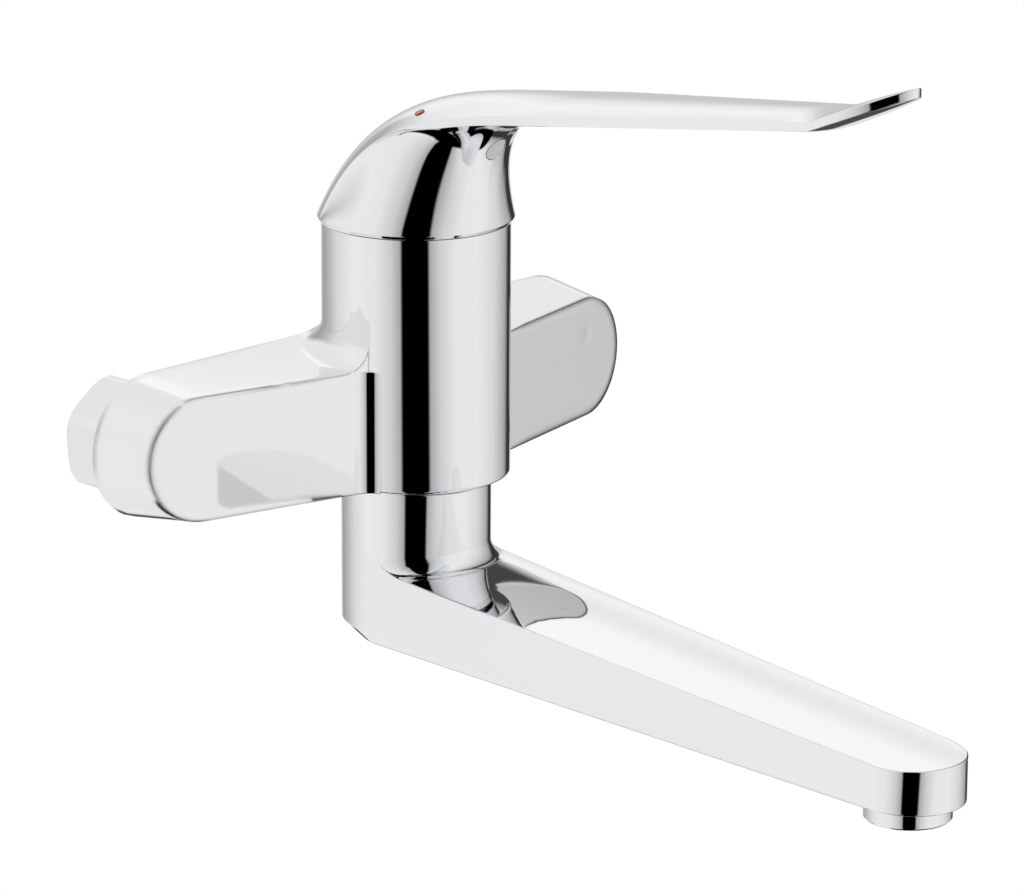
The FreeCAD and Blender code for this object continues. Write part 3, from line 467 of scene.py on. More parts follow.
# Millimetres sideways, forward of the column's axis, and above the column's seam. A strip
# runs from the dome's back to the blade between two creases, with an upright edge under each
# crease and a wall under that. Places run from 0 at the back to 1 at the blade's root, and on
# to the middle of the throat. BACK and CREASE are the control points, forward and above, of
# the strip's middle line and of its crease.
THROAT = 0.3
STATIONS = (0, 0.25, 0.5, 0.75, 1, 1.15, 1.3)
WALL = {
    "azimuth": (123, 100, 64, 38, 20, 9, 0),
    "reach": (27, 23.5, 22, 23, 25, 26.5, 27),
    "rise": (1.3, 7, 18, 20, 18, 15, 14),
    "side": (22.6, 21.8, 20.5, 15.5, 8.5, 4, 0),
    "forward": (-14.7, -3.5, 11, 22.5, 24.5, 23.5, 23),
    "height": (1.3, 13, 29, 36.5, 36.5, 34.5, 33.5),
}
RIM_RADIUS = 27
RIM_RISE = 1.3
INNER_RIM = (26.4, 0.3)
LEDGE_FROM = 0.75
LEDGE_STATIONS = (0.6, 0.75, 0.85, 1, 1.15, 1.3)
LEDGE_SIDE = (20.6, 14.5, 7, 0)
LEDGE_FORWARD = (41.0, 51, 56.5, 58)
BACK = ((-27, 1.3), (-6.5, 41.1), (24, 39.92), (60, 40.7))
CREASE = ((-14.7, 1.3), (-1.22, 27.82), (18.04, 35.47), (60, 40.7))
HALF_STATIONS = (0, 0.3, 1)
HALF_WIDTHS = (22.65, 22.3, 21.9)
EDGE = 2.4
EDGE_GROWS = (12, 30)
BELLY = 1.2
CROWN = 2.0
CROWN_FROM = 0.6
CROWN_POWER = 2.2
ROOT = 60.0
ROOT_HALF = 21.9
ROOT_TOP = 40.7
ROOT_UNDER = 38.3
BEND = 150.4
TIP = 174.2
BLADE_SLOPE = math.tan(math.radians(7.1))
TAPER = math.tan(math.radians(4.9))
TIP_SLOPE = math.tan(math.radians(22.9))
# the tip's rounding, and the share of its length at which its small end face stands
TIP_POWER = 2.34
TIP_FULLNESS = 0.7
TIP_END = 0.999
# half width below which the belly gets flatter with the blade
NARROW_HALF = 14.1


def bezier(points, share):
    """The place on a curve with four control points."""
    rest = 1 - share
    weights = (rest**3, 3 * rest**2 * share, 3 * rest * share**2, share**3)
    return tuple(sum(w * p[i] for w, p in zip(weights, points)) for i in range(len(points[0])))


def ease(low, high, value):
    """Rises softly from 0 at low to 1 at high."""
    share = min(1.0, max(0.0, (value - low) / (high - low)))
    return share * share * (3 - 2 * share)


def between(places, values, place):
    """A smooth curve through the values that never swings past them."""
    gaps = [b - a for a, b in zip(places, places[1:])]
    rises = [(b - a) / gap for a, b, gap in zip(values, values[1:], gaps)]
    slopes = [rises[0]]
    for i in range(1, len(gaps)):
        before, after = rises[i - 1], rises[i]
        slopes.append(2 * before * after / (before + after) if before * after > 0 else 0.0)
    slopes.append(rises[-1])
    for i, gap in enumerate(gaps):
        if place <= places[i + 1] or i == len(gaps) - 1:
            t = (place - places[i]) / gap
            return (
                values[i] * (1 + 2 * t) * (1 - t) ** 2
                + slopes[i] * gap * t * (1 - t) ** 2
                + values[i + 1] * t * t * (3 - 2 * t)
                + slopes[i + 1] * gap * t * t * (t - 1)
            )


def strip_edge(share):
    """Half width, and forward and height of the strip's crease and of its lower edge."""
    forward, height = bezier(CREASE, share)
    half = between(HALF_STATIONS, HALF_WIDTHS, share)
    return half, forward, height, height - EDGE * ease(*EDGE_GROWS, forward)


EDGE_TABLE = [strip_edge(i / 200) for i in range(201)]


def lower_edge_at(forward):
    """Height of the strip's lower edge at a distance forward."""
    for first, second in zip(EDGE_TABLE, EDGE_TABLE[1:]):
        if forward <= second[1]:
            share = (forward - first[1]) / (second[1] - first[1])
            return first[3] + (second[3] - first[3]) * share
    return EDGE_TABLE[-1][3]


def under(side, forward):
    """Height of the ledge under the strip, which hangs lower towards its middle."""
    return lower_edge_at(forward) - BELLY * (1 - min(1.0, side / ROOT_HALF) ** 2)


def rim_point(place):
    """Where the strip's lower edge, then the blade's underside at its root, is met."""
    if place <= 1:
        half, forward, _, low = strip_edge(place)
        return half, forward, low
    side = ROOT_HALF * (1 - (place - 1) / THROAT)
    return side, ROOT, ROOT_UNDER - BELLY * (1 - (side / ROOT_HALF) ** 2)


def wall_top(place):
    """Where the wall meets the strip's lower edge, or further on the ledge under it."""
    if place <= LEDGE_FROM:
        return rim_point(place)
    starts = [strip_edge(station)[:2] for station in LEDGE_STATIONS[:2]]
    side = between(LEDGE_STATIONS, (*[start[0] for start in starts], *LEDGE_SIDE), place)
    forward = between(LEDGE_STATIONS, (*[start[1] for start in starts], *LEDGE_FORWARD), place)
    return side, forward, under(side, forward)


def wall_row(place, columns):
    """One upright line of the wall, from the dome's rim to its top."""
    if place == 0:
        return [rim_point(0)] * (columns + 1)
    key = {name: between(STATIONS, values, place) for name, values in WALL.items()}
    turn = math.radians(key["azimuth"])
    points = (
        (RIM_RADIUS * math.sin(turn), RIM_RADIUS * math.cos(turn), RIM_RISE),
        (key["reach"] * math.sin(turn), key["reach"] * math.cos(turn), key["rise"]),
        (key["side"], key["forward"], key["height"]),
        wall_top(place),
    )
    return [bezier(points, i / columns) for i in range(columns + 1)]


def arched(side, half, sag):
    """Share of an arch's rise that is left at this distance from its middle."""
    radius = (half**2 + sag**2) / (2 * sag)
    return (math.sqrt(radius**2 - side**2) - radius + sag) / sag


def top_row(share, columns):
    """One arch of the strip, from its middle to its crease."""
    half, forward, height, _ = strip_edge(share)
    middle, top = bezier(BACK, share)
    top += CROWN * max(0.0, (share - CROWN_FROM) / (1 - CROWN_FROM)) ** CROWN_POWER
    sag = math.hypot(middle - forward, top - height)
    row = []
    for i in range(columns + 1):
        side = half * i / columns
        rise = arched(side, half, sag)
        row.append((side, forward + (middle - forward) * rise, height + (top - height) * rise))
    return row


def blade_row(forward, half, top, columns, under_columns):
    """Half an outline of the blade, over its crowned top and back under its belly."""
    full = min(1.0, half / NARROW_HALF)
    crown = CROWN * half / ROOT_HALF
    sides = [half * i / columns for i in range(columns + 1)]
    row = [(side, forward, top + crown * arched(side, half, crown)) for side in sides]
    for i in range(under_columns + 1):
        share = 1 - i / under_columns
        row.append((half * share, forward, top - EDGE - BELLY * full * (1 - share**2)))
    return row


def blade_top(forward):
    return ROOT_TOP + (forward - ROOT) * BLADE_SLOPE


def ledge_rows(places, walls, rows):
    """The ledge from the wall's top out to the strip's lower edge; it starts in a point."""
    ledge = []
    for place, wall in zip(places, walls):
        inner, outer = wall[-1], rim_point(place)
        if place > LEDGE_FROM:
            line = [inner]
            for share in (1 / 3, 2 / 3):
                side = inner[0] + (outer[0] - inner[0]) * share
                forward = inner[1] + (outer[1] - inner[1]) * share
                line.append((side, forward, under(side, forward)))
            ledge.append(line + [outer])
        elif place > LEDGE_FROM - 1 / rows:
            ledge.append([outer] * 4)
    return ledge


def blade_rows(columns, under_columns, rows=10, tip_rows=24):
    """The blade: straight and tapered up to its bend, then rounded and rising to the tip."""
    blade = []
    for i in range(rows + 1):
        forward = ROOT + (BEND - ROOT) * i / rows
        half = ROOT_HALF - (forward - ROOT) * TAPER
        blade.append(blade_row(forward, half, blade_top(forward), columns, under_columns))
    bend_half = ROOT_HALF - (BEND - ROOT) * TAPER
    length = TIP - BEND
    for i in range(1, tip_rows + 1):
        share = TIP_END * math.sin(math.pi / 2 * i / tip_rows)
        rounding = (1 - share**TIP_POWER) ** TIP_FULLNESS
        half = (bend_half - share * length * TAPER) * rounding
        top = blade_top(BEND) + share * length * TIP_SLOPE
        blade.append(blade_row(BEND + share * length, half, top, columns, under_columns))
    return blade


def lever_half(rows=110, columns=18, wall_columns=44, under_columns=24):
    """Vertices and faces of the lever's half on the positive side of its middle plane."""
    points, faces = [], []

    def grid(lines):
        start = len(points)
        width = len(lines[0])
        for line in lines:
            points.extend(line)
        for i in range(len(lines) - 1):
            for j in range(width - 1):
                a = start + i * width + j
                faces.append((a, a + width, a + width + 1, a + 1))

    shares = [i / rows for i in range(rows + 1)]
    throat = [1 + THROAT * i / under_columns for i in range(1, under_columns + 1)]
    places = shares + throat
    grid([top_row(share, columns) for share in shares])
    bands = [strip_edge(share) for share in shares]
    grid([[(half, forward, height), (half, forward, low)] for half, forward, height, low in bands])
    walls = [wall_row(place, wall_columns) for place in places]
    grid(walls)
    grid(ledge_rows(places, walls, rows))
    ring = top_row(0, columns) + [wall[0] for wall in walls][1:]
    radius, rise = INNER_RIM
    inner = [(x * radius / RIM_RADIUS, y * radius / RIM_RADIUS, rise) for x, y, _ in ring]
    grid([ring, inner])
    faces.append(tuple(range(len(points) - len(inner), len(points))))
    blade = blade_rows(columns, under_columns)
    grid(blade)
    last = len(blade[0])
    faces.append(tuple(range(len(points) - last, len(points))))
    return points, faces


def lever_blank():
    """The lever's outside as one closed skin of even quads, which no primitive gives."""
    points, faces = lever_half()
    places = [
        (MM * side, COLUMN_Y - MM * forward, SEAM_Z + MM * height)
        for side, forward, height in points
    ]
    lever = new_piece("plated_lever", places, [], faces)
    mirror = lever.modifiers.new("other_half", "MIRROR")
    mirror.merge_threshold = 1e-6
    bpy.ops.object.modifier_apply(modifier=mirror.name)
    return outward(lever, 4e-6)


def rod(radius, length, start, along_y=False, sides=48):
    """A cylinder that rises, or runs forward, from its start."""
    bpy.ops.object.select_all(action="DESELECT")
    reach = Vector((0, -length / 2, 0)) if along_y else Vector((0, 0, length / 2))
    bpy.ops.mesh.primitive_cylinder_add(
        vertices=sides,
        radius=radius,
        depth=length,
        location=Vector(start) + reach,
        rotation=(math.radians(90), 0, 0) if along_y else (0, 0, 0),
    )
    return settle(bpy.context.active_object)


def block(width, height, centre):
    """A square block around its centre."""
    bpy.ops.object.select_all(action="DESELECT")
    bpy.ops.mesh.primitive_cube_add(size=1, location=centre, scale=(width, width, height))
    return settle(bpy.context.active_object)


def cut_with(piece, tool, operation="DIFFERENCE", weld=True):
    """Cuts, joins or trims a piece with a tool, which is used up.

    Welding then joins the points that lie closer together than 2 micrometres.
    """
    only(piece)
    step = piece.modifiers.new("cut", "BOOLEAN")
    step.operation = operation
    step.solver = "EXACT"
    step.object = tool
    bpy.ops.object.modifier_apply(modifier=step.name)
    bpy.data.objects.remove(tool)
    if weld:
        bpy.ops.object.mode_set(mode="EDIT")
        bpy.ops.mesh.select_all(action="SELECT")
        bpy.ops.mesh.remove_doubles(threshold=WELD)
        bpy.ops.object.mode_set(mode="OBJECT")


# sizes in the lever's inside, in metres
SCREW_Z = SEAM_Z + 24 * MM
LEVER_FRONT_Y = COLUMN_Y - 27 * MM
LEVER_SMOOTH_ANGLE = 24
ROOM_RADIUS = 28.82 * MM
ROOM_DROP = 12 * MM
BOSS_RADIUS = 8 * MM
BOSS_LENGTH = 12.5 * MM
SOCKET_WIDTH = 8 * MM
SOCKET_HEIGHT = 15.6 * MM
SOCKET_DROP = 5 * MM
SCREW_HOLE_RADIUS = 2.55 * MM
PLUG_HOLE_RADIUS = 3.2 * MM
PLUG_RADIUS = 2.98 * MM
PLUG_LENGTH = 10 * MM
HOLE_LENGTH = 54 * MM
STEM_CUT_WIDTH = 12 * MM
STEM_CUT_RISE = 32.5 * MM


def cast_lever():
    """The hollow lever: room over the cartridge, a boss, a socket and the screw's holes."""
    lever = lever_blank()
    bpy.ops.object.select_all(action="DESELECT")
    bpy.ops.mesh.primitive_uv_sphere_add(
        segments=64,
        ring_count=40,
        radius=ROOM_RADIUS,
        location=(0, COLUMN_Y, SEAM_Z - ROOM_DROP),
    )
    room = settle(bpy.context.active_object)
    boss_start = (0, COLUMN_Y, SCREW_Z - BOSS_LENGTH)
    cut_with(room, rod(BOSS_RADIUS, BOSS_LENGTH, boss_start, sides=40))
    cut_with(lever, room)
    cut_with(lever, block(SOCKET_WIDTH, SOCKET_HEIGHT, (0, COLUMN_Y, SCREW_Z - SOCKET_DROP)))
    cut_with(lever, rod(SCREW_HOLE_RADIUS, HOLE_LENGTH, (0, COLUMN_Y, SCREW_Z), True))
    cut_with(lever, rod(PLUG_HOLE_RADIUS, HOLE_LENGTH, (0, LEVER_FRONT_Y, SCREW_Z), True, 64))
    smooth(lever, LEVER_SMOOTH_ANGLE)
    dress(lever, "chrome_lever", "handle", "lever")


# ---------------------------------------------------------------- pieces


def front_hollow(side, curve=7.6 * MM, steps=16):
    """The upright hollow curve from the arm's front face to the column, as a solid filler."""
    run = Vector((side * math.cos(ARM_SWEEP), math.sin(ARM_SWEEP), 0))
    out = Vector((side * math.sin(ARM_SWEEP), -math.cos(ARM_SWEEP), 0))
    axis = Vector((0, COLUMN_Y, 0))
    depth = ARM_FRONT - axis.dot(out)
    along = math.sqrt((COLUMN_RADIUS + curve) ** 2 - (depth + curve) ** 2)
    centre = axis + run * along + out * (depth + curve)
    first = -out
    last = (axis - centre).normalized()
    plan = [centre + first.slerp(last, i / steps) * curve for i in range(steps + 1)]
    # two more corners, well inside the column and the arm
    plan += [axis + run * 15 * MM, centre - out * (curve + 3 * MM)]
    count = len(plan)
    low = Vector((0, 0, -ARM_RADIUS))
    points = [point + low for point in plan] + [point - low for point in plan]
    faces = [tuple(range(count)), tuple(range(count, 2 * count))]
    faces += [(i, (i + 1) % count, (i + 1) % count + count, i + count) for i in range(count)]
    return outward(new_piece("hollow", points, [], faces))


def cast_body():
    """The column with its two arms, with the hollow curves that the frame has too tight."""
    piece = merged_copy("mixer_body", "plated_casting")
    for side in (-1, 1):
        cut_with(piece, front_hollow(side), "UNION")
    smooth(piece, SMOOTH_ANGLE)
    even_shading(piece)
    dress(piece, "chrome_casting", "fixed", "mixer_body")


def cast_spout():
    piece = merged_copy("spout", "plated_spout")
    dress(piece, "chrome_casting", "swivel", "spout", look="chrome_spout")


def lever_plug():
    """The plug over the lever's screw, its face flush with the throat."""
    plug = rod(PLUG_RADIUS, PLUG_LENGTH, (0, LEVER_FRONT_Y, SCREW_Z), True, 64)
    plug.name = "lever_plug"
    cut_with(plug, lever_blank(), "INTERSECT")
    smooth(plug, LEVER_SMOOTH_ANGLE)
    dress(plug, "grey_plastic", "handle", "screw_cap", look="plug_plastic")


def low_stem():
    """The lever's square stem, ending lower than in the frame to suit the dome's thinner back."""
    stem = merged_copy("lever_stem", "turned_stem")
    cut_with(stem, block(STEM_CUT_WIDTH, STEM_CUT_WIDTH, (0, COLUMN_Y, SEAM_Z + STEM_CUT_RISE)))
    smooth(stem, SMOOTH_ANGLE)
    dress(stem, "bare_brass", "handle", "lever_stem")


# sizes of a union nut, in metres; the bore's depths run from the wall end
NUT_LENGTH = 0.0147
NUT_FLAT = 0.015
NUT_CORNER = 0.0164
NUT_TURN = 5
CHAMFER_SLOPE = 0.55
THREAD_RADIUS = 0.01206
THREAD_END = 0.0079
RELIEF_RADIUS = 0.01261
RELIEF_END = 0.0111
TAIL_HOLE_RADIUS = 0.00958
BORE_END = 0.0160
PAST_THE_END = 0.001
SKIM = 0.0001


def union_nut(side, word):
    """A hexagon nut with turned chamfers and a threaded bore for the wall fitting.

    Its cuts aren't welded, so that the thread's fine faces stay as they are cut.
    """
    centre = (side * INLET_X, 0, 0)
    bpy.ops.object.select_all(action="DESELECT")
    bpy.ops.mesh.primitive_cylinder_add(
        vertices=6,
        radius=NUT_FLAT / math.cos(math.radians(30)),
        depth=NUT_LENGTH,
        location=(side * INLET_X, -NUT_LENGTH / 2, 0),
        rotation=(math.radians(90), math.radians(NUT_TURN * side), 0),
    )
    nut = settle(bpy.context.active_object)
    nut.name = "plated_union_nut_" + word
    chamfer = sizes().nut_chamfer
    slope = chamfer * CHAMFER_SLOPE
    section = (
        (0, -PAST_THE_END),
        (NUT_CORNER - chamfer, -SKIM),
        (NUT_CORNER, slope),
        (NUT_CORNER, NUT_LENGTH - slope),
        (NUT_CORNER - chamfer, NUT_LENGTH + SKIM),
        (0, NUT_LENGTH + PAST_THE_END),
    )
    cut_with(nut, spun("nut_blank", section, centre), "INTERSECT", weld=False)
    cut_with(nut, thread_bore(centre), weld=False)
    smooth(nut, SMOOTH_ANGLE)
    even_shading(nut)
    dress(nut, "chrome_trim", "nut_" + word, "union_nut_" + word)


def thread_bore(centre, rows=54):
    """The room inside a union nut: a threaded mouth, a relief and the hole around the tail."""
    pitch = sizes().thread_pitch
    depth = sizes().thread_depth
    section = [(0, -PAST_THE_END), (THREAD_RADIUS, -PAST_THE_END)]
    section += [(THREAD_RADIUS, THREAD_END * row / rows) for row in range(rows + 1)]
    section += [
        (RELIEF_RADIUS, THREAD_END),
        (RELIEF_RADIUS, RELIEF_END),
        (TAIL_HOLE_RADIUS, RELIEF_END),
        (TAIL_HOLE_RADIUS, BORE_END),
        (0, BORE_END),
    ]
    bore = spun("nut_bore", section, centre)
    for vertex in bore.data.vertices:
        along = -vertex.co.y
        across = Vector((vertex.co.x - centre[0], 0, vertex.co.z))
        if 0.0 < along < THREAD_END - 1e-5 and abs(across.length - THREAD_RADIUS) < 1e-5:
            turn = math.atan2(across.z, across.x) / (2 * math.pi)
            wave = abs(((along / pitch - turn) % 1.0) * 2 - 1)
            ends = min(1.0, along / pitch, (THREAD_END - along) / pitch)
            across = across.normalized() * (THREAD_RADIUS + depth * wave * ends)
            vertex.co.x = centre[0] + across.x
            vertex.co.z = across.z
    return bore


def dress_node(node, slot):
    """A CAD node whose shape is right keeps it and takes a finish."""
    obj = frame["nodes"][node]
    for place in obj.material_slots:
        place.material = FINISHES[slot]


def copied_trim():
    """The plug, the stem, the bright rings and the temperature marks."""
    lever_plug()
    low_stem()
    for node, name, slot in (
        ("aerator_housing", "plated_aerator_ring", "chrome_trim"),
        ("guard_ring", "plated_guard_ring", "chrome_trim"),
        ("red_mark", "hot_mark", "red_enamel"),
        ("blue_mark", "cold_mark", "blue_enamel"),
    ):
        body = frame["nodes"][node]["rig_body"]
        dress(merged_copy(node, name), slot, body, node)


PLAIN_NODES = {
    "bare_brass": ("inlet_tail_left", "inlet_tail_right", "clamp_ring"),
    "steel": (
        "inlet_filter_left",
        "inlet_filter_right",
        "lever_screw",
        "spout_lock_screw",
        "stem_pin",
    ),
    "ceramic": ("fixed_disc", "moving_disc"),
    "cartridge_plastic": (
        "cartridge_base",
        "cartridge_housing",
        "cartridge_rotor",
        "disc_carrier",
    ),
    "grey_plastic": ("temperature_stop_ring", "spout_glide_ring", "aerator_insert"),
    "seal_rubber": (
        "inlet_gasket_left",
        "inlet_gasket_right",
        "port_seals",
        "spout_orings",
        "aerator_seal",
    ),
}


def inner_parts():
    for slot, nodes in PLAIN_NODES.items():
        for node in nodes:
            dress_node(node, slot)


# ---------------------------------------------------------------- studio

VIEW_TURN = 46.549
VIEW_TILT = 15.73
VIEW_ROLL = 0.256
VIEW_PLACE = (-1.01685, -1.04217, 0.3917)
VIEW_LENS = 189.24
SOFTBOX_SIZE = 1.6
SOFTBOX_AIM = (0, -0.1, 0)

# the levels below are as seen in the metal, which keeps part of the light
ROOM_GAIN = 1.16

# brightness of the studio in degrees around from the camera, rising to the picture's left
ROUND_THE_ROOM = (
    (-180, 0.80),
    (-167, 0.78),
    (-163, 0.04),
    (-148, 0.03),
    (-138, 0.36),
    (-110, 0.66),
    (-80, 0.80),
    (-50, 0.78),
    (-30, 0.60),
    (-18, 0.38),
    (-16, 0.0),
    (16, 0.0),
    (18, 0.38),
    (30, 0.60),
    (50, 0.77),
    (80, 0.81),
    (110, 0.67),
    (130, 0.46),
    (150, 0.33),
    (162, 0.42),
    (168, 0.78),
    (180, 0.80),
)
# brightness to the picture's left well above or below the horizon, by the same degrees
ROUND_THE_SIDE = (
    (0, 0.0),
    (16, 0.0),
    (18, 0.38),
    (30, 0.60),
    (50, 0.77),
    (80, 0.80),
    (140, 0.76),
    (180, 0.78),
)
# brightness of the backdrop behind the object, by degrees above the horizon
UP_THE_BACKDROP = (
    (-90, 0.10),
    (-68, 0.12),
    (-60, 0.62),
    (-40, 0.66),
    (-36, 0.06),
    (-25, 0.06),
    (-22, 0.78),
    (-17, 0.60),
    (-9, 0.50),
    (0, 0.53),
    (3, 0.60),
    (6, 0.73),
    (11, 0.85),
    (15, 0.82),
    (19, 0.77),
    (24, 0.80),
    (30, 0.90),
    (46, 0.92),
    (56, 0.60),
    (70, 0.38),
    (90, 0.55),
)
# shares of the height, from straight down to straight up
NEAR_THE_HORIZON = ((0.33, 0.0), (0.40, 1.0), (0.55, 1.0), (0.60, 0.0))
ABOVE_THE_DARK_FLOOR = ((0.150, 0.0), (0.167, 1.0))
# share of the way round to straight behind
BEHIND = ((0.910, 0.0), (0.935, 1.0))


def view_axes():
    """The camera's right, up and backward directions."""
    turn = math.radians(VIEW_TURN)
    tilt = math.radians(VIEW_TILT)
    roll = math.radians(VIEW_ROLL)
    level = math.cos(tilt)
    back = Vector((-math.sin(turn) * level, -math.cos(turn) * level, math.sin(tilt)))
    right = Vector((math.cos(turn), -math.sin(turn), 0))
    up = back.cross(right)
    across = right * math.cos(roll) + up * math.sin(roll)
    return across, back.cross(across), back


def place_camera():
    camera = bpy.data.cameras.new("view_camera")
    camera.sensor_width = 36
    camera.lens = VIEW_LENS
    camera.clip_end = 100
    obj = bpy.data.objects.new("view_camera", camera)
    bpy.context.scene.collection.objects.link(obj)
    place = Matrix(view_axes()).transposed().to_4x4()
    place.translation = Vector(VIEW_PLACE)
    obj.matrix_world = place
    bpy.context.scene.camera = obj


def room_light(tree):
    """The studio as polished metal sees it, by direction."""
    coords = add_node(tree, "ShaderNodeTexCoord")
    parts = add_node(tree, "ShaderNodeSeparateXYZ")
    tree.links.new(coords.outputs["Generated"], parts.inputs[0])
    x, y, z = parts.outputs
    turn = math.radians(VIEW_TURN)
    toward = maths(
        tree,
        "ADD",
        maths(tree, "MULTIPLY", x, -math.sin(turn)),
        maths(tree, "MULTIPLY", y, -math.cos(turn)),
    )
    leftward = maths(
        tree,
        "SUBTRACT",
        maths(tree, "MULTIPLY", y, math.sin(turn)),
        maths(tree, "MULTIPLY", x, math.cos(turn)),
    )
    bearing = maths(tree, "ARCTAN2", leftward, toward)
    around = maths(tree, "ADD", maths(tree, "DIVIDE", bearing, 2 * math.pi), 0.5)
    height = maths(tree, "ADD", maths(tree, "DIVIDE", maths(tree, "ARCSINE", z), math.pi), 0.5)
    sides = ramp(tree, around, [((place + 180) / 360, level) for place, level in ROUND_THE_ROOM])
    left = maths(tree, "DIVIDE", bearing, math.pi, clamp=True)
    off_level = ramp(tree, left, [(place / 180, level) for place, level in ROUND_THE_SIDE])
    near = ramp(tree, height, NEAR_THE_HORIZON)
    on_left = maths(tree, "GREATER_THAN", bearing, 0.0)
    lifted = maths(tree, "MULTIPLY", maths(tree, "SUBTRACT", 1.0, near), on_left)
    sides = mixed(tree, lifted, sides, off_level)
    stops = [((place + 90) / 180, level) for place, level in UP_THE_BACKDROP]
    away = maths(tree, "MULTIPLY", maths(tree, "ABSOLUTE", bearing), 1 / math.pi)
    room = mixed(tree, ramp(tree, away, BEHIND), sides, ramp(tree, height, stops))
    lit = maths(tree, "MULTIPLY", room, ramp(tree, height, ABOVE_THE_DARK_FLOOR))
    return maths(tree, "MULTIPLY", lit, ROOM_GAIN)


def light_the_room():
    """Plain light on the object, the room in what metal mirrors, and white for the camera."""
    world = bpy.data.worlds.new("studio")
    bpy.context.scene.world = world
    world.use_nodes = True
    tree = world.node_tree
    path = add_node(tree, "ShaderNodeLightPath")
    rays = path.outputs
    shiny = maths(tree, "MAXIMUM", rays["Is Glossy Ray"], rays["Is Transmission Ray"])
    light = mixed(tree, shiny, (0.72, 0.72, 0.72), room_light(tree))
    seen = mixed(tree, rays["Is Camera Ray"], light, (1.0, 1.0, 1.0))
    tree.links.new(seen, tree.nodes["Background"].inputs["Color"])


def soft_lamp(name, place, power):
    """A round softbox aimed at the object, which metal doesn't mirror."""
    lamp = bpy.data.lights.new(name, "AREA")
    lamp.shape = "DISK"
    lamp.size = SOFTBOX_SIZE
    lamp.energy = power
    obj = bpy.data.objects.new(name, lamp)
    bpy.context.scene.collection.objects.link(obj)
    obj.location = place
    direction = Vector(SOFTBOX_AIM) - Vector(place)
    obj.rotation_euler = direction.to_track_quat("-Z", "Y").to_euler()
    obj.visible_glossy = False


def lay_floor():
    """A pale matt floor that the camera sees as plain white."""
    bpy.ops.object.select_all(action="DESELECT")
    bpy.ops.mesh.primitive_plane_add(size=24, location=(0, 0, -sizes().floor_drop))
    floor = settle(bpy.context.active_object)
    floor.name = "studio_floor"
    material, shader = new_material("studio_floor")
    tree = material.node_tree
    shader.inputs["Roughness"].default_value = 0.8
    shade = mixed(tree, grain(tree, 1.5), (0.86, 0.86, 0.86), (0.84, 0.84, 0.84))
    tree.links.new(shade, shader.inputs["Base Color"])
    glow = add_node(tree, "ShaderNodeEmission")
    path = add_node(tree, "ShaderNodeLightPath")
    blend = add_node(tree, "ShaderNodeMixShader")
    tree.links.new(path.outputs["Is Camera Ray"], blend.inputs[0])
    tree.links.new(shader.outputs[0], blend.inputs[1])
    tree.links.new(glow.outputs[0], blend.inputs[2])
    tree.links.new(blend.outputs[0], tree.nodes["Material Output"].inputs["Surface"])
    floor.data.materials.append(material)
    floor.visible_glossy = False


def studio():
    scene = bpy.context.scene
    scene.view_settings.view_transform = "Standard"
    place_camera()
    light_the_room()
    lay_floor()
    soft_lamp("key_softbox", (-1.2, -0.6, 1.4), 22)
    soft_lamp("fill_softbox", (1.3, -1.2, 0.9), 12)


# ---------------------------------------------------------------- operators


class MIXER_OT_studio(bpy.types.Operator):
    """Set up the camera, the room's light and the floor"""

    bl_idname = "mixer.studio"
    bl_label = "Studio"

    def execute(self, context):
        studio()
        return {"FINISHED"}


class MIXER_OT_casting(bpy.types.Operator):
    """Plate the cast column with its two inlet arms"""

    bl_idname = "mixer.casting"
    bl_label = "Column and arms"

    def execute(self, context):
        cast_body()
        return {"FINISHED"}


class MIXER_OT_spout(bpy.types.Operator):
    """Plate the swivel spout"""

    bl_idname = "mixer.spout"
    bl_label = "Spout"

    def execute(self, context):
        cast_spout()
        return {"FINISHED"}


class MIXER_OT_lever(bpy.types.Operator):
    """Plate the lever"""

    bl_idname = "mixer.lever"
    bl_label = "Lever"

    def execute(self, context):
        cast_lever()
        return {"FINISHED"}


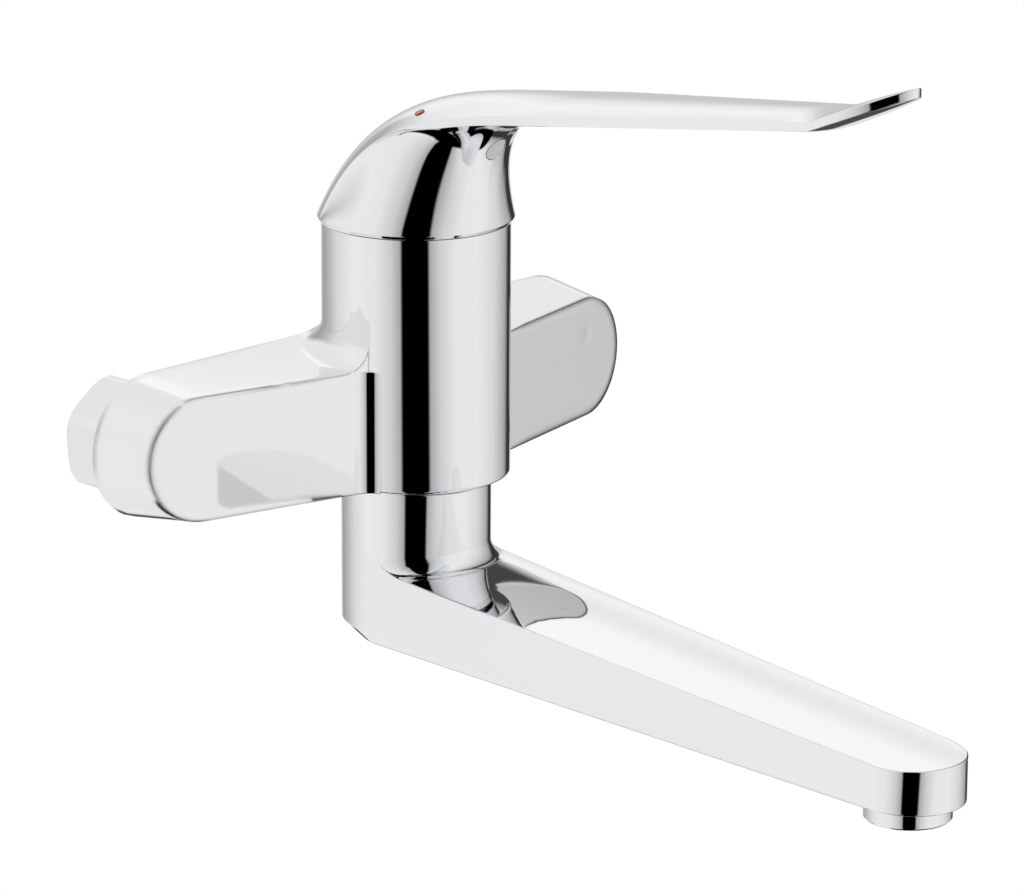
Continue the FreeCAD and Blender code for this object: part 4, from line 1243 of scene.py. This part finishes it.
class MIXER_OT_union_nuts(bpy.types.Operator):
    """Model the two union nuts with their threads"""

    bl_idname = "mixer.union_nuts"
    bl_label = "Union nuts"

    def execute(self, context):
        union_nut(-1, "left")
        union_nut(1, "right")
        return {"FINISHED"}


class MIXER_OT_trim(bpy.types.Operator):
    """Finish the small bright trim, the plug and the temperature marks"""

    bl_idname = "mixer.trim"
    bl_label = "Trim"

    def execute(self, context):
        copied_trim()
        return {"FINISHED"}


class MIXER_OT_inner_parts(bpy.types.Operator):
    """Give the cartridge, seals, screws and filters their finishes"""

    bl_idname = "mixer.inner_parts"
    bl_label = "Inner parts"

    def execute(self, context):
        inner_parts()
        return {"FINISHED"}


class MIXER_PT_panel(bpy.types.Panel):
    """The mixer's settings and the steps that build it"""

    bl_idname = "MIXER_PT_panel"
    bl_label = "Basin mixer"
    bl_space_type = "VIEW_3D"
    bl_region_type = "UI"
    bl_category = "Mixer"

    def draw(self, context):
        layout = self.layout
        for group in (context.scene.mixer_finish, context.scene.mixer_sizes):
            box = layout.box()
            for name in group.__annotations__:
                box.prop(group, name)
        for step in STEPS:
            layout.operator(step.bl_idname)


STEPS = (
    MIXER_OT_studio,
    MIXER_OT_casting,
    MIXER_OT_spout,
    MIXER_OT_lever,
    MIXER_OT_union_nuts,
    MIXER_OT_trim,
    MIXER_OT_inner_parts,
)
CLASSES = (MixerFinish, MixerSizes, *STEPS, MIXER_PT_panel)


def register():
    for cls in CLASSES:
        bpy.utils.register_class(cls)
    bpy.types.Scene.mixer_finish = bpy.props.PointerProperty(type=MixerFinish)
    bpy.types.Scene.mixer_sizes = bpy.props.PointerProperty(type=MixerSizes)


def unregister():
    del bpy.types.Scene.mixer_sizes
    del bpy.types.Scene.mixer_finish
    for cls in reversed(CLASSES):
        bpy.utils.unregister_class(cls)


def main():
    register()
    make_finishes()
    bpy.ops.mixer.studio()
    bpy.ops.mixer.casting()
    bpy.ops.mixer.spout()
    bpy.ops.mixer.lever()
    bpy.ops.mixer.union_nuts()
    bpy.ops.mixer.trim()
    bpy.ops.mixer.inner_parts()


if __name__ == "__main__":
    main()
